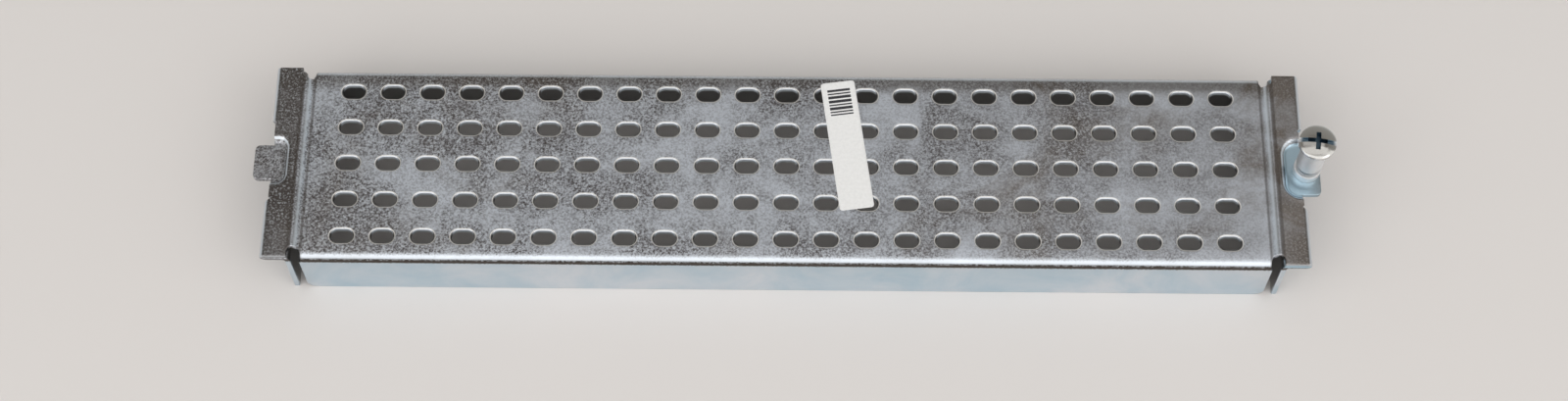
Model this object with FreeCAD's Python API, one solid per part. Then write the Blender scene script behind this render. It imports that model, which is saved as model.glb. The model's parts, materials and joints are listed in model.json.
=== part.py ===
import FreeCAD, Part
import math
import os

from FreeCAD import Vector

# Slot blank cover: one folded, perforated steel sheet with a hook tongue at -X and a captive screw at +X.
# Millimetres. It lies face up. The origin is the centre of the open rear rim, +X runs along the panel
# towards the screw, and +Z points out of the perforated face.

# Sheet and tray
SHEET = 1.0
TRAY_DEPTH = 13.3              # front of the face to the rear rim
FLANGE_BEND_RADIUS = 0.65      # inside of the long bends
FLANGE_CORNER_RADIUS = 2.0     # rounded lower corners of the two long flanges

# Vent slots
SLOT_COLUMNS = 23
SLOT_ROWS = 5
SLOT_PITCH = 7.62
SLOT_LENGTH = 4.3              # the punched hole, inside its rolled edge
SLOT_WIDTH = 2.7
SLOT_END_CHORDS = 5            # each round slot end is this many chords, to keep the grid light
SIDE_MARGIN = 4.81             # centre of the outer row to the outside of the flange
END_MARGIN = 7.93              # centre of the last column to the end of the flange

# Ears: the sheet steps up, runs out, folds back under itself and turns down into an end wall
JOGGLE_ANGLE = 45.0
JOGGLE_RADIUS = 0.2            # inside of both joggle bends
EAR_REACH = 7.2                # end of the flange to the outer edge of the hem
EAR_SETBACK = 0.15             # the ears are this much narrower than the tray on each side
HEM_GAP = 0.2
HEM_WINDOW = 16.0              # width of the middle stretch where the hem is cut away
BARE_EDGE_SETBACK = 0.75       # the bare edge in that stretch lies this far inside the hem's edge
WALL_GAP = 1.65                # end of the flange to the inside of the end wall
WALL_BEND_RADIUS = 0.5
WALL_NOTCH_DEPTH = 3.0         # the window runs this far below the face into the end wall
RELIEF_WIDTH = 2.4             # round-bottomed corner notch between ear and flange
RELIEF_DEPTH = 2.1
RELIEF_BITE = 0.3              # how far the notch reaches into the end of the long bend

# Pressed-down pockets that carry the tongues
POCKET_SLOPE = 1.2             # run of the pocket's sloping side
TIP_CORNER_RADIUS = 1.0
HOOK_POCKET_WIDTH = 8.2        # across the pocket's floor
HOOK_POCKET_REACH = 2.9        # pocket floor's inner edge to the hem's edge
HOOK_POCKET_CORNER = 1.3       # inner corners of the pocket's floor
HOOK_WIDTH = 7.2
HOOK_REACH = 2.8               # tip beyond the hem's edge
TAB_POCKET_WIDTH = 10.8
TAB_POCKET_REACH = 3.5
TAB_POCKET_CORNER = 2.4
TAB_WIDTH = 10.2
TAB_REACH = 2.9

# Captive screw, its ferrule and its ring
SCREW_OFFSET = 0.25            # screw axis beyond the hem's edge
SCREW_DIAMETER = 3.0
SCREW_REACH = 9.5              # end of the thread below the tab's top
SCREW_TRAVEL = 3.5
SHOULDER_DIAMETER = 3.8
SHOULDER_LENGTH = 1.5
BARREL_DIAMETER = 5.0
BARREL_LENGTH = 8.2
BARREL_CHAMFER = 0.3
HEAD_DIAMETER = 7.0
HEAD_THICKNESS = 1.5
HEAD_DOME = 0.75               # rise of the head's rounded top, part of its thickness
HEAD_DOME_CHORDS = 2           # the dome is turned in this many chords, to keep the head light
DRIVE_WIDTH = 0.9
DRIVE_SLOT_DEPTH = 0.9
DRIVE_CROSS_SPAN = 3.6
DRIVE_CROSS_DEPTH = 1.8
DRIVE_TURN = -7.0              # degrees, the drive's rest position about the screw's axis
FERRULE_BORE_CLEARANCE = 0.05  # radial
FERRULE_BODY_DIAMETER = 4.2
FERRULE_COLLAR_DIAMETER = 5.2
FERRULE_COLLAR_HEIGHT = 2.0
FERRULE_FLARE_DIAMETER = 4.9
FERRULE_FLARE_HEIGHT = 0.4
SEAT_GAP = 0.02                # screw shoulder over the ferrule
RING_DIAMETER = 5.0
RING_THICKNESS = 0.5
RING_MOUTH = 1.6
GROOVE_DEPTH = 0.3
RING_RADIAL_CLEARANCE = 0.05
RING_AXIAL_CLEARANCE = 0.05

# Paper label
LABEL_WIDTH = 6.6
LABEL_LENGTH = 27.3
LABEL_THICKNESS = 0.1
LABEL_LEAN = 8.0               # degrees, top end towards the hook
LABEL_X = 11.6
LABEL_Y = 4.7

# Places worked out from the sizes above
FACE_HALF_WIDTH = (SLOT_ROWS - 1) * SLOT_PITCH / 2 + SIDE_MARGIN
FLANGE_END = (SLOT_COLUMNS - 1) * SLOT_PITCH / 2 + END_MARGIN
EAR_HALF_WIDTH = FACE_HALF_WIDTH - EAR_SETBACK
EAR_TOP = TRAY_DEPTH + SHEET
HEM_EDGE = FLANGE_END + EAR_REACH
HEM_CENTRE = HEM_EDGE - SHEET - HEM_GAP / 2
BARE_EDGE = HEM_EDGE - BARE_EDGE_SETBACK
WALL_INSIDE = FLANGE_END + WALL_GAP
SCREW_X = HEM_EDGE + SCREW_OFFSET
TAB_TOP = TRAY_DEPTH


def in_xz(u, v):
    return Vector(u, 0, v)


def in_yz(u, v):
    return Vector(0, u, v)


def strip_face(start, heading, moves, to_space):
    """Section of a bent strip, one sheet thick, that follows its middle line from start.

    A move is ("flat", length) or ("bend", degrees, inside radius); a positive bend turns left.
    """
    left, right = [], []
    u, v = start
    angle = math.radians(heading)
    half = SHEET / 2

    def beside(offset, at_u, at_v, direction):
        return to_space(at_u - offset * math.sin(direction), at_v + offset * math.cos(direction))

    first = (beside(half, u, v, angle), beside(-half, u, v, angle))
    for move in moves:
        if move[0] == "flat":
            new_u = u + move[1] * math.cos(angle)
            new_v = v + move[1] * math.sin(angle)
            for edges, offset in ((left, half), (right, -half)):
                ends = [beside(offset, a, b, angle) for a, b in ((u, v), (new_u, new_v))]
                edges.append(Part.LineSegment(*ends).toShape())
            u, v = new_u, new_v
        else:
            turn = math.radians(move[1])
            side = math.copysign(1, turn)
            radius = move[2] + half
            centre_u = u - side * radius * math.sin(angle)
            centre_v = v + side * radius * math.cos(angle)
            for edges, offset in ((left, half), (right, -half)):
                points = []
                for share in (0, 0.5, 1):
                    direction = angle + share * turn
                    reach = offset - side * radius
                    points.append(beside(reach, centre_u, centre_v, direction))
                edges.append(Part.Arc(*points).toShape())
            angle += turn
            u = centre_u + side * radius * math.sin(angle)
            v = centre_v - side * radius * math.cos(angle)
    last = (beside(half, u, v, angle), beside(-half, u, v, angle))
    caps = [Part.LineSegment(*first).toShape(), Part.LineSegment(*last).toShape()]
    return Part.Face(Part.Wire(Part.sortEdges(left + right + caps)[0]))


def block(low, high):
    size = [b - a for a, b in zip(low, high)]
    return Part.makeBox(*size, Vector(*low))


def disc(radius, bottom, top, x=0.0, y=0.0):
    return Part.makeCylinder(radius, top - bottom, Vector(x, y, bottom))


def rounded_outline(x_inner, x_outer, half_width, radius, z, round_outer):
    """Rectangle across the X axis with two corners rounded, at its outer end or at its inner end."""
    sign = 1 if round_outer else -1
    x_round = x_outer if round_outer else x_inner
    x_plain = x_inner if round_outer else x_outer
    diagonal = radius * (1 - math.sqrt(0.5))
    x_tangent = x_round - sign * radius
    y_tangent = half_width - radius
    points = {
        "plain_low": Vector(x_plain, -half_width, z),
        "plain_high": Vector(x_plain, half_width, z),
        "side_low": Vector(x_tangent, -half_width, z),
        "side_high": Vector(x_tangent, half_width, z),
        "end_low": Vector(x_round, -y_tangent, z),
        "end_high": Vector(x_round, y_tangent, z),
        "mid_low": Vector(x_round - sign * diagonal, -half_width + diagonal, z),
        "mid_high": Vector(x_round - sign * diagonal, half_width - diagonal, z),
    }
    edges = [
        Part.LineSegment(points["plain_low"], points["side_low"]),
        Part.Arc(points["side_low"], points["mid_low"], points["end_low"]),
        Part.LineSegment(points["end_low"], points["end_high"]),
        Part.Arc(points["end_high"], points["mid_high"], points["side_high"]),
        Part.LineSegment(points["side_high"], points["plain_high"]),
        Part.LineSegment(points["plain_high"], points["plain_low"]),
    ]
    return Part.Wire([edge.toShape() for edge in edges])


def tray_channel():
    """Face and the two long flanges, with the flanges' lower corners rounded."""
    bend_run = FLANGE_BEND_RADIUS + SHEET
    upright = TRAY_DEPTH - bend_run
    across = 2 * (FACE_HALF_WIDTH - bend_run)
    moves = [
        ("flat", upright),
        ("bend", -90, FLANGE_BEND_RADIUS),
        ("flat", across),
        ("bend", -90, FLANGE_BEND_RADIUS),
        ("flat", upright),
    ]
    section = strip_face((-FACE_HALF_WIDTH + SHEET / 2, 0), 90, moves, in_yz)
    section.translate(Vector(-FLANGE_END, 0, 0))
    channel = section.extrude(Vector(2 * FLANGE_END, 0, 0))
    corners = [
        edge for edge in channel.Edges
        if edge.BoundBox.ZMax < 1e-6 and edge.BoundBox.XLength < 1e-6
    ]
    return channel.makeFillet(FLANGE_CORNER_RADIUS, corners)


def ear_top_layer():
    """The joggle and the ear's upper layer at +X, out to where the hem starts to turn."""
    middle_radius = JOGGLE_RADIUS + SHEET / 2
    tilt = math.radians(JOGGLE_ANGLE)
    slope = (SHEET - 2 * middle_radius * (1 - math.cos(tilt))) / math.sin(tilt)
    joggle_run = 2 * middle_radius * math.sin(tilt) + slope * math.cos(tilt)
    moves = [
        ("bend", JOGGLE_ANGLE, JOGGLE_RADIUS),
        ("flat", slope),
        ("bend", -JOGGLE_ANGLE, JOGGLE_RADIUS),
        ("flat", HEM_CENTRE - FLANGE_END - joggle_run),
    ]
    section = strip_face((FLANGE_END, TRAY_DEPTH - SHEET / 2), 0, moves, in_xz)
    section.translate(Vector(0, -EAR_HALF_WIDTH, 0))
    layer = section.extrude(Vector(0, 2 * EAR_HALF_WIDTH, 0))
    bare_lip = block(
        (HEM_CENTRE, -HEM_WINDOW / 2, TRAY_DEPTH), (BARE_EDGE, HEM_WINDOW / 2, EAR_TOP)
    )
    return layer.fuse(bare_lip)


def hem_and_wall():
    """The hem's turn, the return layer under the ear and the end wall at +X, with the window cut out."""
    middle_radius = WALL_BEND_RADIUS + SHEET / 2
    return_level = TRAY_DEPTH - SHEET / 2 - HEM_GAP
    moves = [
        ("bend", -180, HEM_GAP / 2),
        ("flat", HEM_CENTRE - WALL_INSIDE - SHEET / 2 - middle_radius),
        ("bend", 90, WALL_BEND_RADIUS),
        ("flat", return_level - middle_radius),
    ]
    section = strip_face((HEM_CENTRE, TRAY_DEPTH + SHEET / 2), 0, moves, in_xz)
    section.translate(Vector(0, -EAR_HALF_WIDTH, 0))
    fold = section.extrude(Vector(0, 2 * EAR_HALF_WIDTH, 0))
    window = block(
        (FLANGE_END, -HEM_WINDOW / 2, TRAY_DEPTH - WALL_NOTCH_DEPTH),
        (HEM_EDGE + SHEET, HEM_WINDOW / 2, EAR_TOP + SHEET),
    )
    return fold.cut(window)


def corner_relief(y_side):
    """Cutter for the round-bottomed notch at +X between the ear and one long bend."""
    radius = RELIEF_WIDTH / 2
    x_middle = FLANGE_END - RELIEF_BITE + radius
    y_middle = EAR_HALF_WIDTH - RELIEF_DEPTH + radius
    bottom = TRAY_DEPTH - SHEET - FLANGE_BEND_RADIUS
    top = EAR_TOP + SHEET
    neck = block(
        (x_middle - radius, y_middle, bottom), (x_middle + radius, FACE_HALF_WIDTH + SHEET, top)
    )
    notch = neck.fuse(disc(radius, bottom, top, x_middle, y_middle))
    return notch if y_side > 0 else notch.mirror(Vector(0, 0, 0), Vector(0, 1, 0))


def pressed_pocket(floor_width, floor_reach, floor_corner, top_level):
    """Tapered pocket form at +X whose floor lies one sheet below top_level."""
    floor_inner = HEM_EDGE - floor_reach
    floor = rounded_outline(
        floor_inner, BARE_EDGE, floor_width / 2, floor_corner, top_level - SHEET, False
    )
    mouth = rounded_outline(
        floor_inner - POCKET_SLOPE, BARE_EDGE, floor_width / 2 + POCKET_SLOPE,
        floor_corner + POCKET_SLOPE, top_level, False,
    )
    return Part.makeLoft([floor, mouth], True, True)


def tongue(width, reach, root):
    """Flat tongue at the pocket's floor level, from its root inside the hem's edge to its rounded tip."""
    outline = rounded_outline(
        HEM_EDGE - root, HEM_EDGE + reach, width / 2, TIP_CORNER_RADIUS,
        TRAY_DEPTH - SHEET, True,
    )
    return Part.Face(outline).extrude(Vector(0, 0, SHEET))


def panel_end(pocket_width, pocket_reach, pocket_corner, tongue_width, tongue_reach):
    """Everything past the flange at +X: joggle, ear, hem, end wall, pocket and tongue."""
    top = ear_top_layer()
    top = top.fuse(pressed_pocket(pocket_width, pocket_reach, pocket_corner, TRAY_DEPTH))
    top = top.cut(pressed_pocket(pocket_width, pocket_reach, pocket_corner, EAR_TOP))
    for side in (-1, 1):
        top = top.cut(corner_relief(side))
    root = pocket_reach - pocket_corner
    return top.fuse([hem_and_wall(), tongue(tongue_width, tongue_reach, root)])


def slot_outline(z):
    """Obround about the Z axis, its two round ends drawn as chords."""
    radius = SLOT_WIDTH / 2
    straight = SLOT_LENGTH / 2 - radius
    points = []
    for middle, start in ((straight, -90), (-straight, 90)):
        for step in range(SLOT_END_CHORDS + 1):
            turn = math.radians(start + 180 * step / SLOT_END_CHORDS)
            points.append(Vector(middle + radius * math.cos(turn), radius * math.sin(turn), z))
    return Part.makePolygon(points + points[:1])


def vent_slots():
    """Cutters for the grid of obround slots."""
    slot = Part.Face(slot_outline(TRAY_DEPTH - 2 * SHEET)).extrude(Vector(0, 0, 3 * SHEET))
    cutters = []
    for column in range(SLOT_COLUMNS):
        for row in range(SLOT_ROWS):
            x = (column - (SLOT_COLUMNS - 1) / 2) * SLOT_PITCH
            y = (row - (SLOT_ROWS - 1) / 2) * SLOT_PITCH
            cutters.append(slot.translated(Vector(x, y, 0)))
    return cutters


def cover_panel():
    channel = tray_channel().cut(vent_slots())
    for side in (-1, 1):
        relief = corner_relief(side)
        channel = channel.cut([relief, relief.mirror(Vector(0, 0, 0), Vector(1, 0, 0))])
    hook_end = panel_end(
        HOOK_POCKET_WIDTH, HOOK_POCKET_REACH, HOOK_POCKET_CORNER, HOOK_WIDTH, HOOK_REACH
    )
    hook_end = hook_end.mirror(Vector(0, 0, 0), Vector(1, 0, 0))
    screw_end = panel_end(
        TAB_POCKET_WIDTH, TAB_POCKET_REACH, TAB_POCKET_CORNER, TAB_WIDTH, TAB_REACH
    )
    screw_end = screw_end.cut(
        disc(FERRULE_BODY_DIAMETER / 2, TAB_TOP - 2 * SHEET, TAB_TOP + SHEET, SCREW_X)
    )
    return channel.fuse([hook_end, screw_end]).removeSplitter()


def turned(outline):
    """Solid of revolution about the screw's axis from (radius, height) points, heights above the tab."""
    points = [Vector(SCREW_X + radius, 0, TAB_TOP + height) for radius, height in outline]
    section = Part.Face(Part.makePolygon(points + points[:1]))
    return section.revolve(Vector(SCREW_X, 0, 0), Vector(0, 0, 1), 360)


def screw_ferrule():
    bore = SCREW_DIAMETER / 2 + FERRULE_BORE_CLEARANCE
    body = FERRULE_BODY_DIAMETER / 2
    collar = FERRULE_COLLAR_DIAMETER / 2
    flare = FERRULE_FLARE_DIAMETER / 2
    return turned([
        (bore, -SHEET - FERRULE_FLARE_HEIGHT),
        (body, -SHEET - FERRULE_FLARE_HEIGHT),
        (flare, -SHEET),
        (body, -SHEET),
        (body, 0),
        (collar, 0),
        (collar, FERRULE_COLLAR_HEIGHT),
        (bore, FERRULE_COLLAR_HEIGHT),
    ])


def ring_top():
    """Height of the ring's upper face above the tab, one travel below the ferrule."""
    return -SHEET - FERRULE_FLARE_HEIGHT - SCREW_TRAVEL


def head_dome(top):
    """(radius, height) points over the screw head's rounded top, from its rim to its middle."""
    ball = ((HEAD_DIAMETER / 2) ** 2 + HEAD_DOME ** 2) / (2 * HEAD_DOME)
    reach = math.asin(HEAD_DIAMETER / 2 / ball)
    turns = [reach * (1 - i / HEAD_DOME_CHORDS) for i in range(HEAD_DOME_CHORDS + 1)]
    return [(ball * math.sin(turn), top - ball * (1 - math.cos(turn))) for turn in turns]


def captive_screw():
    shank = SCREW_DIAMETER / 2
    groove = shank - GROOVE_DEPTH
    groove_top = ring_top() + RING_AXIAL_CLEARANCE
    groove_bottom = ring_top() - RING_THICKNESS - RING_AXIAL_CLEARANCE
    seat = FERRULE_COLLAR_HEIGHT + SEAT_GAP
    barrel_bottom = seat + SHOULDER_LENGTH
    barrel_top = barrel_bottom + BARREL_LENGTH
    head_top = barrel_top + HEAD_THICKNESS
    barrel = BARREL_DIAMETER / 2
    blank = turned([
        (0, -SCREW_REACH),
        (shank, -SCREW_REACH),
        (shank, groove_bottom),
        (groove, groove_bottom),
        (groove, groove_top),
        (shank, groove_top),
        (shank, seat),
        (SHOULDER_DIAMETER / 2, seat),
        (SHOULDER_DIAMETER / 2, barrel_bottom),
        (barrel - BARREL_CHAMFER, barrel_bottom),
        (barrel, barrel_bottom + BARREL_CHAMFER),
        (barrel, barrel_top),
        (HEAD_DIAMETER / 2, barrel_top),
        *head_dome(head_top),
    ])
    head_level = TAB_TOP + head_top
    half = DRIVE_WIDTH / 2
    span = DRIVE_CROSS_SPAN / 2
    slot = block(
        (SCREW_X - HEAD_DIAMETER, -half, head_level - DRIVE_SLOT_DEPTH),
        (SCREW_X + HEAD_DIAMETER, half, head_level + SHEET),
    )
    cross_floor = head_level - DRIVE_CROSS_DEPTH
    cross_along = block((SCREW_X - span, -half, cross_floor), (SCREW_X + span, half, head_level + SHEET))
    cross_across = block((SCREW_X - half, -span, cross_floor), (SCREW_X + half, span, head_level + SHEET))
    for recess in (slot, cross_along, cross_across):
        recess.rotate(Vector(SCREW_X, 0, 0), Vector(0, 0, 1), DRIVE_TURN)
    return blank.cut([slot, cross_along, cross_across])


def retaining_ring():
    """Split ring that sits in the screw's groove behind the tab."""
    inner = SCREW_DIAMETER / 2 - GROOVE_DEPTH + RING_RADIAL_CLEARANCE
    outer = RING_DIAMETER / 2
    top = TAB_TOP + ring_top()
    ring = disc(outer, top - RING_THICKNESS, top, SCREW_X)
    hole = disc(inner, top - RING_THICKNESS, top, SCREW_X)
    mouth = block(
        (SCREW_X, -RING_MOUTH / 2, top - RING_THICKNESS), (SCREW_X + 2 * outer, RING_MOUTH / 2, top)
    )
    return ring.cut([hole, mouth])


def label():
    half_width, half_length = LABEL_WIDTH / 2, LABEL_LENGTH / 2
    sticker = block((-half_width, -half_length, 0), (half_width, half_length, LABEL_THICKNESS))
    sticker.rotate(Vector(0, 0, 0), Vector(0, 0, 1), LABEL_LEAN)
    sticker.translate(Vector(LABEL_X, LABEL_Y, TRAY_DEPTH))
    return sticker


def main():
    os.makedirs("parts", exist_ok=True)
    for make in (cover_panel, screw_ferrule, captive_screw, retaining_ring, label):
        shape = make()
        solids = len(shape.Solids)
        if solids != 1 or not shape.isValid():
            raise RuntimeError(f"{make.__name__}: {solids} solids, valid {shape.isValid()}")
        shape.Solids[0].exportStep(f"parts/{make.__name__}.step")
        print(make.__name__, "volume", round(shape.Volume, 3))


main()
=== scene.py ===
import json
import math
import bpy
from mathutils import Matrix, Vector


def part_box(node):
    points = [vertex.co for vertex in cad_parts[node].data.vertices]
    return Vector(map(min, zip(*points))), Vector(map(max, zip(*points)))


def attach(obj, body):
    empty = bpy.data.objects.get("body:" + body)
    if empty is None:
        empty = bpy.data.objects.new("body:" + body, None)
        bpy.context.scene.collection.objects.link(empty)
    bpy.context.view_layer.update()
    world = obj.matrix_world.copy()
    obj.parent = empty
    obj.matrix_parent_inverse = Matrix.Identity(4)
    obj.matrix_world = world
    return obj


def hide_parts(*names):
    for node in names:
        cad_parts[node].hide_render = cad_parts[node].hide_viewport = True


bl_info = {
    "name": "Slot blank cover",
    "version": (1, 0, 0),
    "blender": (4, 5, 0),
    "location": "View3D > Sidebar > Slot Cover",
    "description": "Builds the looks of a folded, perforated slot blank cover with its captive screw",
    "category": "Object",
}

import bmesh
import bpy
from bpy.props import FloatProperty, FloatVectorProperty, IntProperty, PointerProperty
from mathutils import Matrix, Vector

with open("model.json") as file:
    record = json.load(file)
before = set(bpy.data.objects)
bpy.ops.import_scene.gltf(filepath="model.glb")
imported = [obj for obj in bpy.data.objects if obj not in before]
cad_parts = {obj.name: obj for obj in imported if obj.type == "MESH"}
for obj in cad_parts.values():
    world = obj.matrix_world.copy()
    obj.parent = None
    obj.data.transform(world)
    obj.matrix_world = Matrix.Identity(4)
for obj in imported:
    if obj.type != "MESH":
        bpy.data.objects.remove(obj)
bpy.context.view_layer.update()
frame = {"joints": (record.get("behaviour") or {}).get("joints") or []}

MM = 0.001
WELD = 0.001 * MM              # points of neighbouring patches closer than this become one
FLAT_WEIGHT = 90               # over 50, large faces keep their shading beside small ones

# Places that the frame gives
SHEET_LOW, SHEET_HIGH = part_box("cover_panel")
SCREW_LOW, SCREW_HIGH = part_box("captive_screw")
FERRULE_LOW, FERRULE_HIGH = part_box("screw_ferrule")
RING_LOW, RING_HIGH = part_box("retaining_ring")
LABEL_LOW, LABEL_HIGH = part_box("label")
FACE_TOP = LABEL_LOW.z
SCREW_SEAT = Vector(next(j["pos_m"] for j in frame["joints"] if j["name"] == "screw_turn"))


# Settings

def length(name, description, millimetres):
    """A setting for a length, written in millimetres and kept in metres."""
    return FloatProperty(
        name=name, description=description, default=millimetres * MM, min=0.0,
        unit="LENGTH", precision=5,
    )


def angle(name, description, degrees):
    """A setting for an angle, written in degrees and kept in radians."""
    return FloatProperty(
        name=name, description=description, default=math.radians(degrees), subtype="ANGLE"
    )


def tint(name, description, colour):
    """A setting for a colour."""
    return FloatVectorProperty(
        name=name, description=description, default=colour, size=3, min=0.0, max=1.0, subtype="COLOR"
    )


class SheetSettings(bpy.types.PropertyGroup):
    """Sizes of the folded sheet's face, flanges and slots."""

    thickness: length("Sheet", "Thickness of the steel sheet", 1.0)
    slot_columns: IntProperty(name="Slot columns", description="Slots along the face", default=23, min=1)
    slot_rows: IntProperty(name="Slot rows", description="Slots across the face", default=5, min=1)
    slot_pitch: length("Slot pitch", "Centre to centre of neighbouring slots, both ways", 7.62)
    slot_length: length("Slot length", "Length of one obround slot inside its rolled edge", 4.3)
    slot_width: length("Slot width", "Width of one obround slot inside its rolled edge", 2.7)
    slot_roll: length("Slot roll", "Rolled edge that the punch leaves round each slot's front", 0.30)
    slot_dish: length("Slot dish", "How far the face dips towards a slot's edge", 0.04)
    edge_round: length("Edge round", "Rounding of every other cut edge", 0.12)
    end_margin: length("End margin", "Centre of the last slot column to the flange's end", 7.93)
    bend_radius: length("Bend radius", "Inside radius of the long bends", 0.65)
    crown_radius: length("Crown radius", "Gentle rounding of the face beside the long bends", 24.0)
    crown_tilt: angle("Crown tilt", "Slope of the face where the tight bend starts", 6.0)
    flange_corner: length("Flange corner", "Radius of the flanges' lower corners", 2.0)


class EarSettings(bpy.types.PropertyGroup):
    """Sizes of the joggled, hemmed ears, their pockets and tongues."""

    reach: length("Ear reach", "Flange's end to the hem's outer edge", 7.2)
    setback: length("Ear setback", "Ear narrower than the tray by this on each side", 0.15)
    joggle_radius: length("Joggle radius", "Inside radius of the joggle's bends", 0.2)
    joggle_tilt: angle("Joggle tilt", "Steepness of the joggle", 45.0)
    hem_gap: length("Hem gap", "Gap inside the hem", 0.2)
    window: length("Window", "Width of the stretch where the hem is cut away", 16.0)
    window_depth: length("Window depth", "Window's reach down into the end wall", 3.0)
    bare_setback: length("Bare edge", "Bare edge inside the hem's edge by this", 0.75)
    wall_gap: length("Wall gap", "Flange's end to the inside of the end wall", 1.65)
    wall_bend: length("Wall bend", "Inside radius where the return layer turns down", 0.5)
    relief_width: length("Relief width", "Width of the round corner notch", 2.4)
    relief_depth: length("Relief depth", "Depth of the round corner notch", 2.1)
    relief_bite: length("Relief bite", "Notch's reach into the end of the long bend", 0.3)
    pocket_slope: length("Pocket slope", "Run of the pressed pocket's sloping side", 1.2)
    tip_corner: length("Tip corner", "Rounded corners of the tongues", 1.0)
    hook_pocket_width: length("Hook pocket width", "Across the hook pocket's floor", 8.2)
    hook_pocket_reach: length("Hook pocket reach", "Hook pocket's floor to the hem's edge", 2.9)
    hook_pocket_corner: length("Hook pocket corner", "Inner corners of the hook pocket's floor", 1.3)
    hook_width: length("Hook width", "Width of the hook tongue", 7.2)
    tab_pocket_width: length("Tab pocket width", "Across the screw pocket's floor", 10.8)
    tab_pocket_reach: length("Tab pocket reach", "Screw pocket's floor to the hem's edge", 3.5)
    tab_pocket_corner: length("Tab pocket corner", "Inner corners of the screw pocket's floor", 2.4)
    tab_width: length("Tab width", "Width of the screw tab", 10.2)
    ferrule_hole: length("Ferrule hole", "Diameter of the hole for the ferrule", 4.2)


class ScrewSettings(bpy.types.PropertyGroup):
    """Sizes of the captive screw, its ferrule and its ring."""

    shank: length("Shank", "Diameter over the thread", 3.0)
    thread_pitch: length("Thread pitch", "Height of one turn of the thread", 0.5)
    thread_depth: length("Thread depth", "Crest to root of the thread", 0.3)
    thread_end: length("Thread chamfer", "Chamfer at the thread's end", 0.4)
    groove_depth: length("Groove depth", "Depth of the ring's groove", 0.3)
    groove_room: length("Groove room", "Space above and below the ring in its groove", 0.05)
    shoulder: length("Shoulder", "Diameter of the neck over the ferrule", 3.8)
    shoulder_height: length("Shoulder height", "Height of the neck", 1.5)
    barrel: length("Barrel", "Diameter of the grip barrel", 5.0)
    barrel_height: length("Barrel height", "Height of the grip barrel", 8.2)
    barrel_chamfer: length("Barrel chamfer", "Chamfer at the barrel's foot", 0.3)
    head: length("Head", "Diameter of the head", 7.0)
    head_thickness: length("Head thickness", "Height of the head over the barrel", 1.5)
    head_dome: length("Head dome", "Rise of the head's rounded top", 0.75)
    seat_gap: length("Seat gap", "Shoulder over the ferrule", 0.02)
    drive_width: length("Drive width", "Width of the drive slot and the cross", 0.9)
    drive_slot_depth: length("Slot depth", "Depth of the drive slot", 0.9)
    drive_cross_span: length("Cross span", "Span of the cross recess", 3.6)
    drive_cross_depth: length("Cross depth", "Depth of the cross recess", 1.8)
    drive_turn: angle("Drive turn", "Rest position of the drive about the screw's axis", -7.0)
    ferrule_room: length("Ferrule room", "Radial play of the shank in the ferrule", 0.05)
    ferrule_flare: length("Ferrule flare", "Diameter of the swaged rim under the tab", 4.9)
    ring_mouth: length("Ring mouth", "Opening of the split ring", 1.6)
    ring_room: length("Ring room", "Radial play of the ring in its groove", 0.05)
    ring_clear: length("Ring clear", "Gap left where the ring stops under the ferrule", 0.01)
    edge_round: length("Turned edges", "Rounding of the turned edges", 0.07)


class LabelSettings(bpy.types.PropertyGroup):
    """Size and print of the paper label."""

    width: length("Width", "Width of the label", 6.6)
    length: length("Length", "Length of the label", 27.3)
    lean: angle("Lean", "Turn of the label on the face", 8.0)
    corner: length("Corner", "Radius of the label's corners", 0.6)
    bars_from: length("Bars from", "Label's top edge to the first bar", 1.6)
    bars_to: length("Bars to", "Label's top edge to the last bar", 7.2)
    bars_width: length("Bars width", "Length of each bar", 4.4)
    bar_module: length("Bar module", "Width of the thinnest bar", 0.30)
    edge_round: length("Edge round", "Rounding of the paper's cut edges", 0.03)


class FinishSettings(bpy.types.PropertyGroup):
    """Colours of the finishes."""

    zinc_light: tint("Zinc, light", "Clear patches of the plating", (0.66, 0.705, 0.775))
    zinc_dark: tint("Zinc, dark", "Cloudy patches of the plating", (0.37, 0.38, 0.41))
    # also a painted dark reflection along the face's edge before the far bend
    zinc_stain_and_dark_reflection: tint("Zinc, stain", "Brown patches of the plating", (0.235, 0.21, 0.19))
    zinc_speck: tint("Zinc, specks", "Dark crystals of the plating", (0.10, 0.09, 0.088))
    # also the painted highlights on the slots' far rolls and walls, the turned edges and the long bends
    zinc_clean_and_highlight: tint("Zinc, clean", "Plating of the flanges and turned edges", (0.70, 0.75, 0.80))
    # burnished outline of the slots, brightened into a painted highlight
    zinc_burnish_and_highlight: tint("Zinc, edge", "Burnished outline of the slots", (0.93, 0.92, 0.88))
    # painted blue reflection on the screw tab; a blue tinge in cloudy patches of the flanges
    zinc_blue: tint("Zinc, blue", "Blue tinge of the screw tab and the flanges", (0.44, 0.60, 0.70))
    # painted shade inside the tray
    zinc_rear_shade: tint("Zinc, rear", "Duller plating inside the tray", (0.34, 0.34, 0.34))
    # painted shade on the creases and on the slots' near and side rolls; also the hook's ear, darker in
    # patches
    zinc_darkest_and_shade: tint("Zinc, rubbed", "Rubbed bends, slot rolls and hook's ear", (0.09, 0.078, 0.07))
    plating: tint("Screw plating", "Bright plating of the screw", (0.82, 0.84, 0.86))
    plating_warm: tint("Screw plating, warm", "Warm tinge in the screw's plating", (0.72, 0.70, 0.67))
    # painted shade on the head's domed top
    plating_dome_shade: tint("Screw plating, dull", "Duller plating on the head's domed top", (0.57, 0.56, 0.535))
    # painted shade in the drive's recesses and on the neck under the barrel
    drive: tint("Screw drive", "Dark residue in the screw's drive and on its neck", (0.10, 0.15, 0.19))
    spring: tint("Spring steel", "Dark steel of the split ring", (0.30, 0.30, 0.32))
    paper: tint("Paper", "White of the label", (0.86, 0.86, 0.85))
    ink: tint("Ink", "Dark bars of the label", (0.03, 0.03, 0.035))
    floor: tint("Floor", "Pale studio floor", (0.73, 0.70, 0.68))


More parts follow.
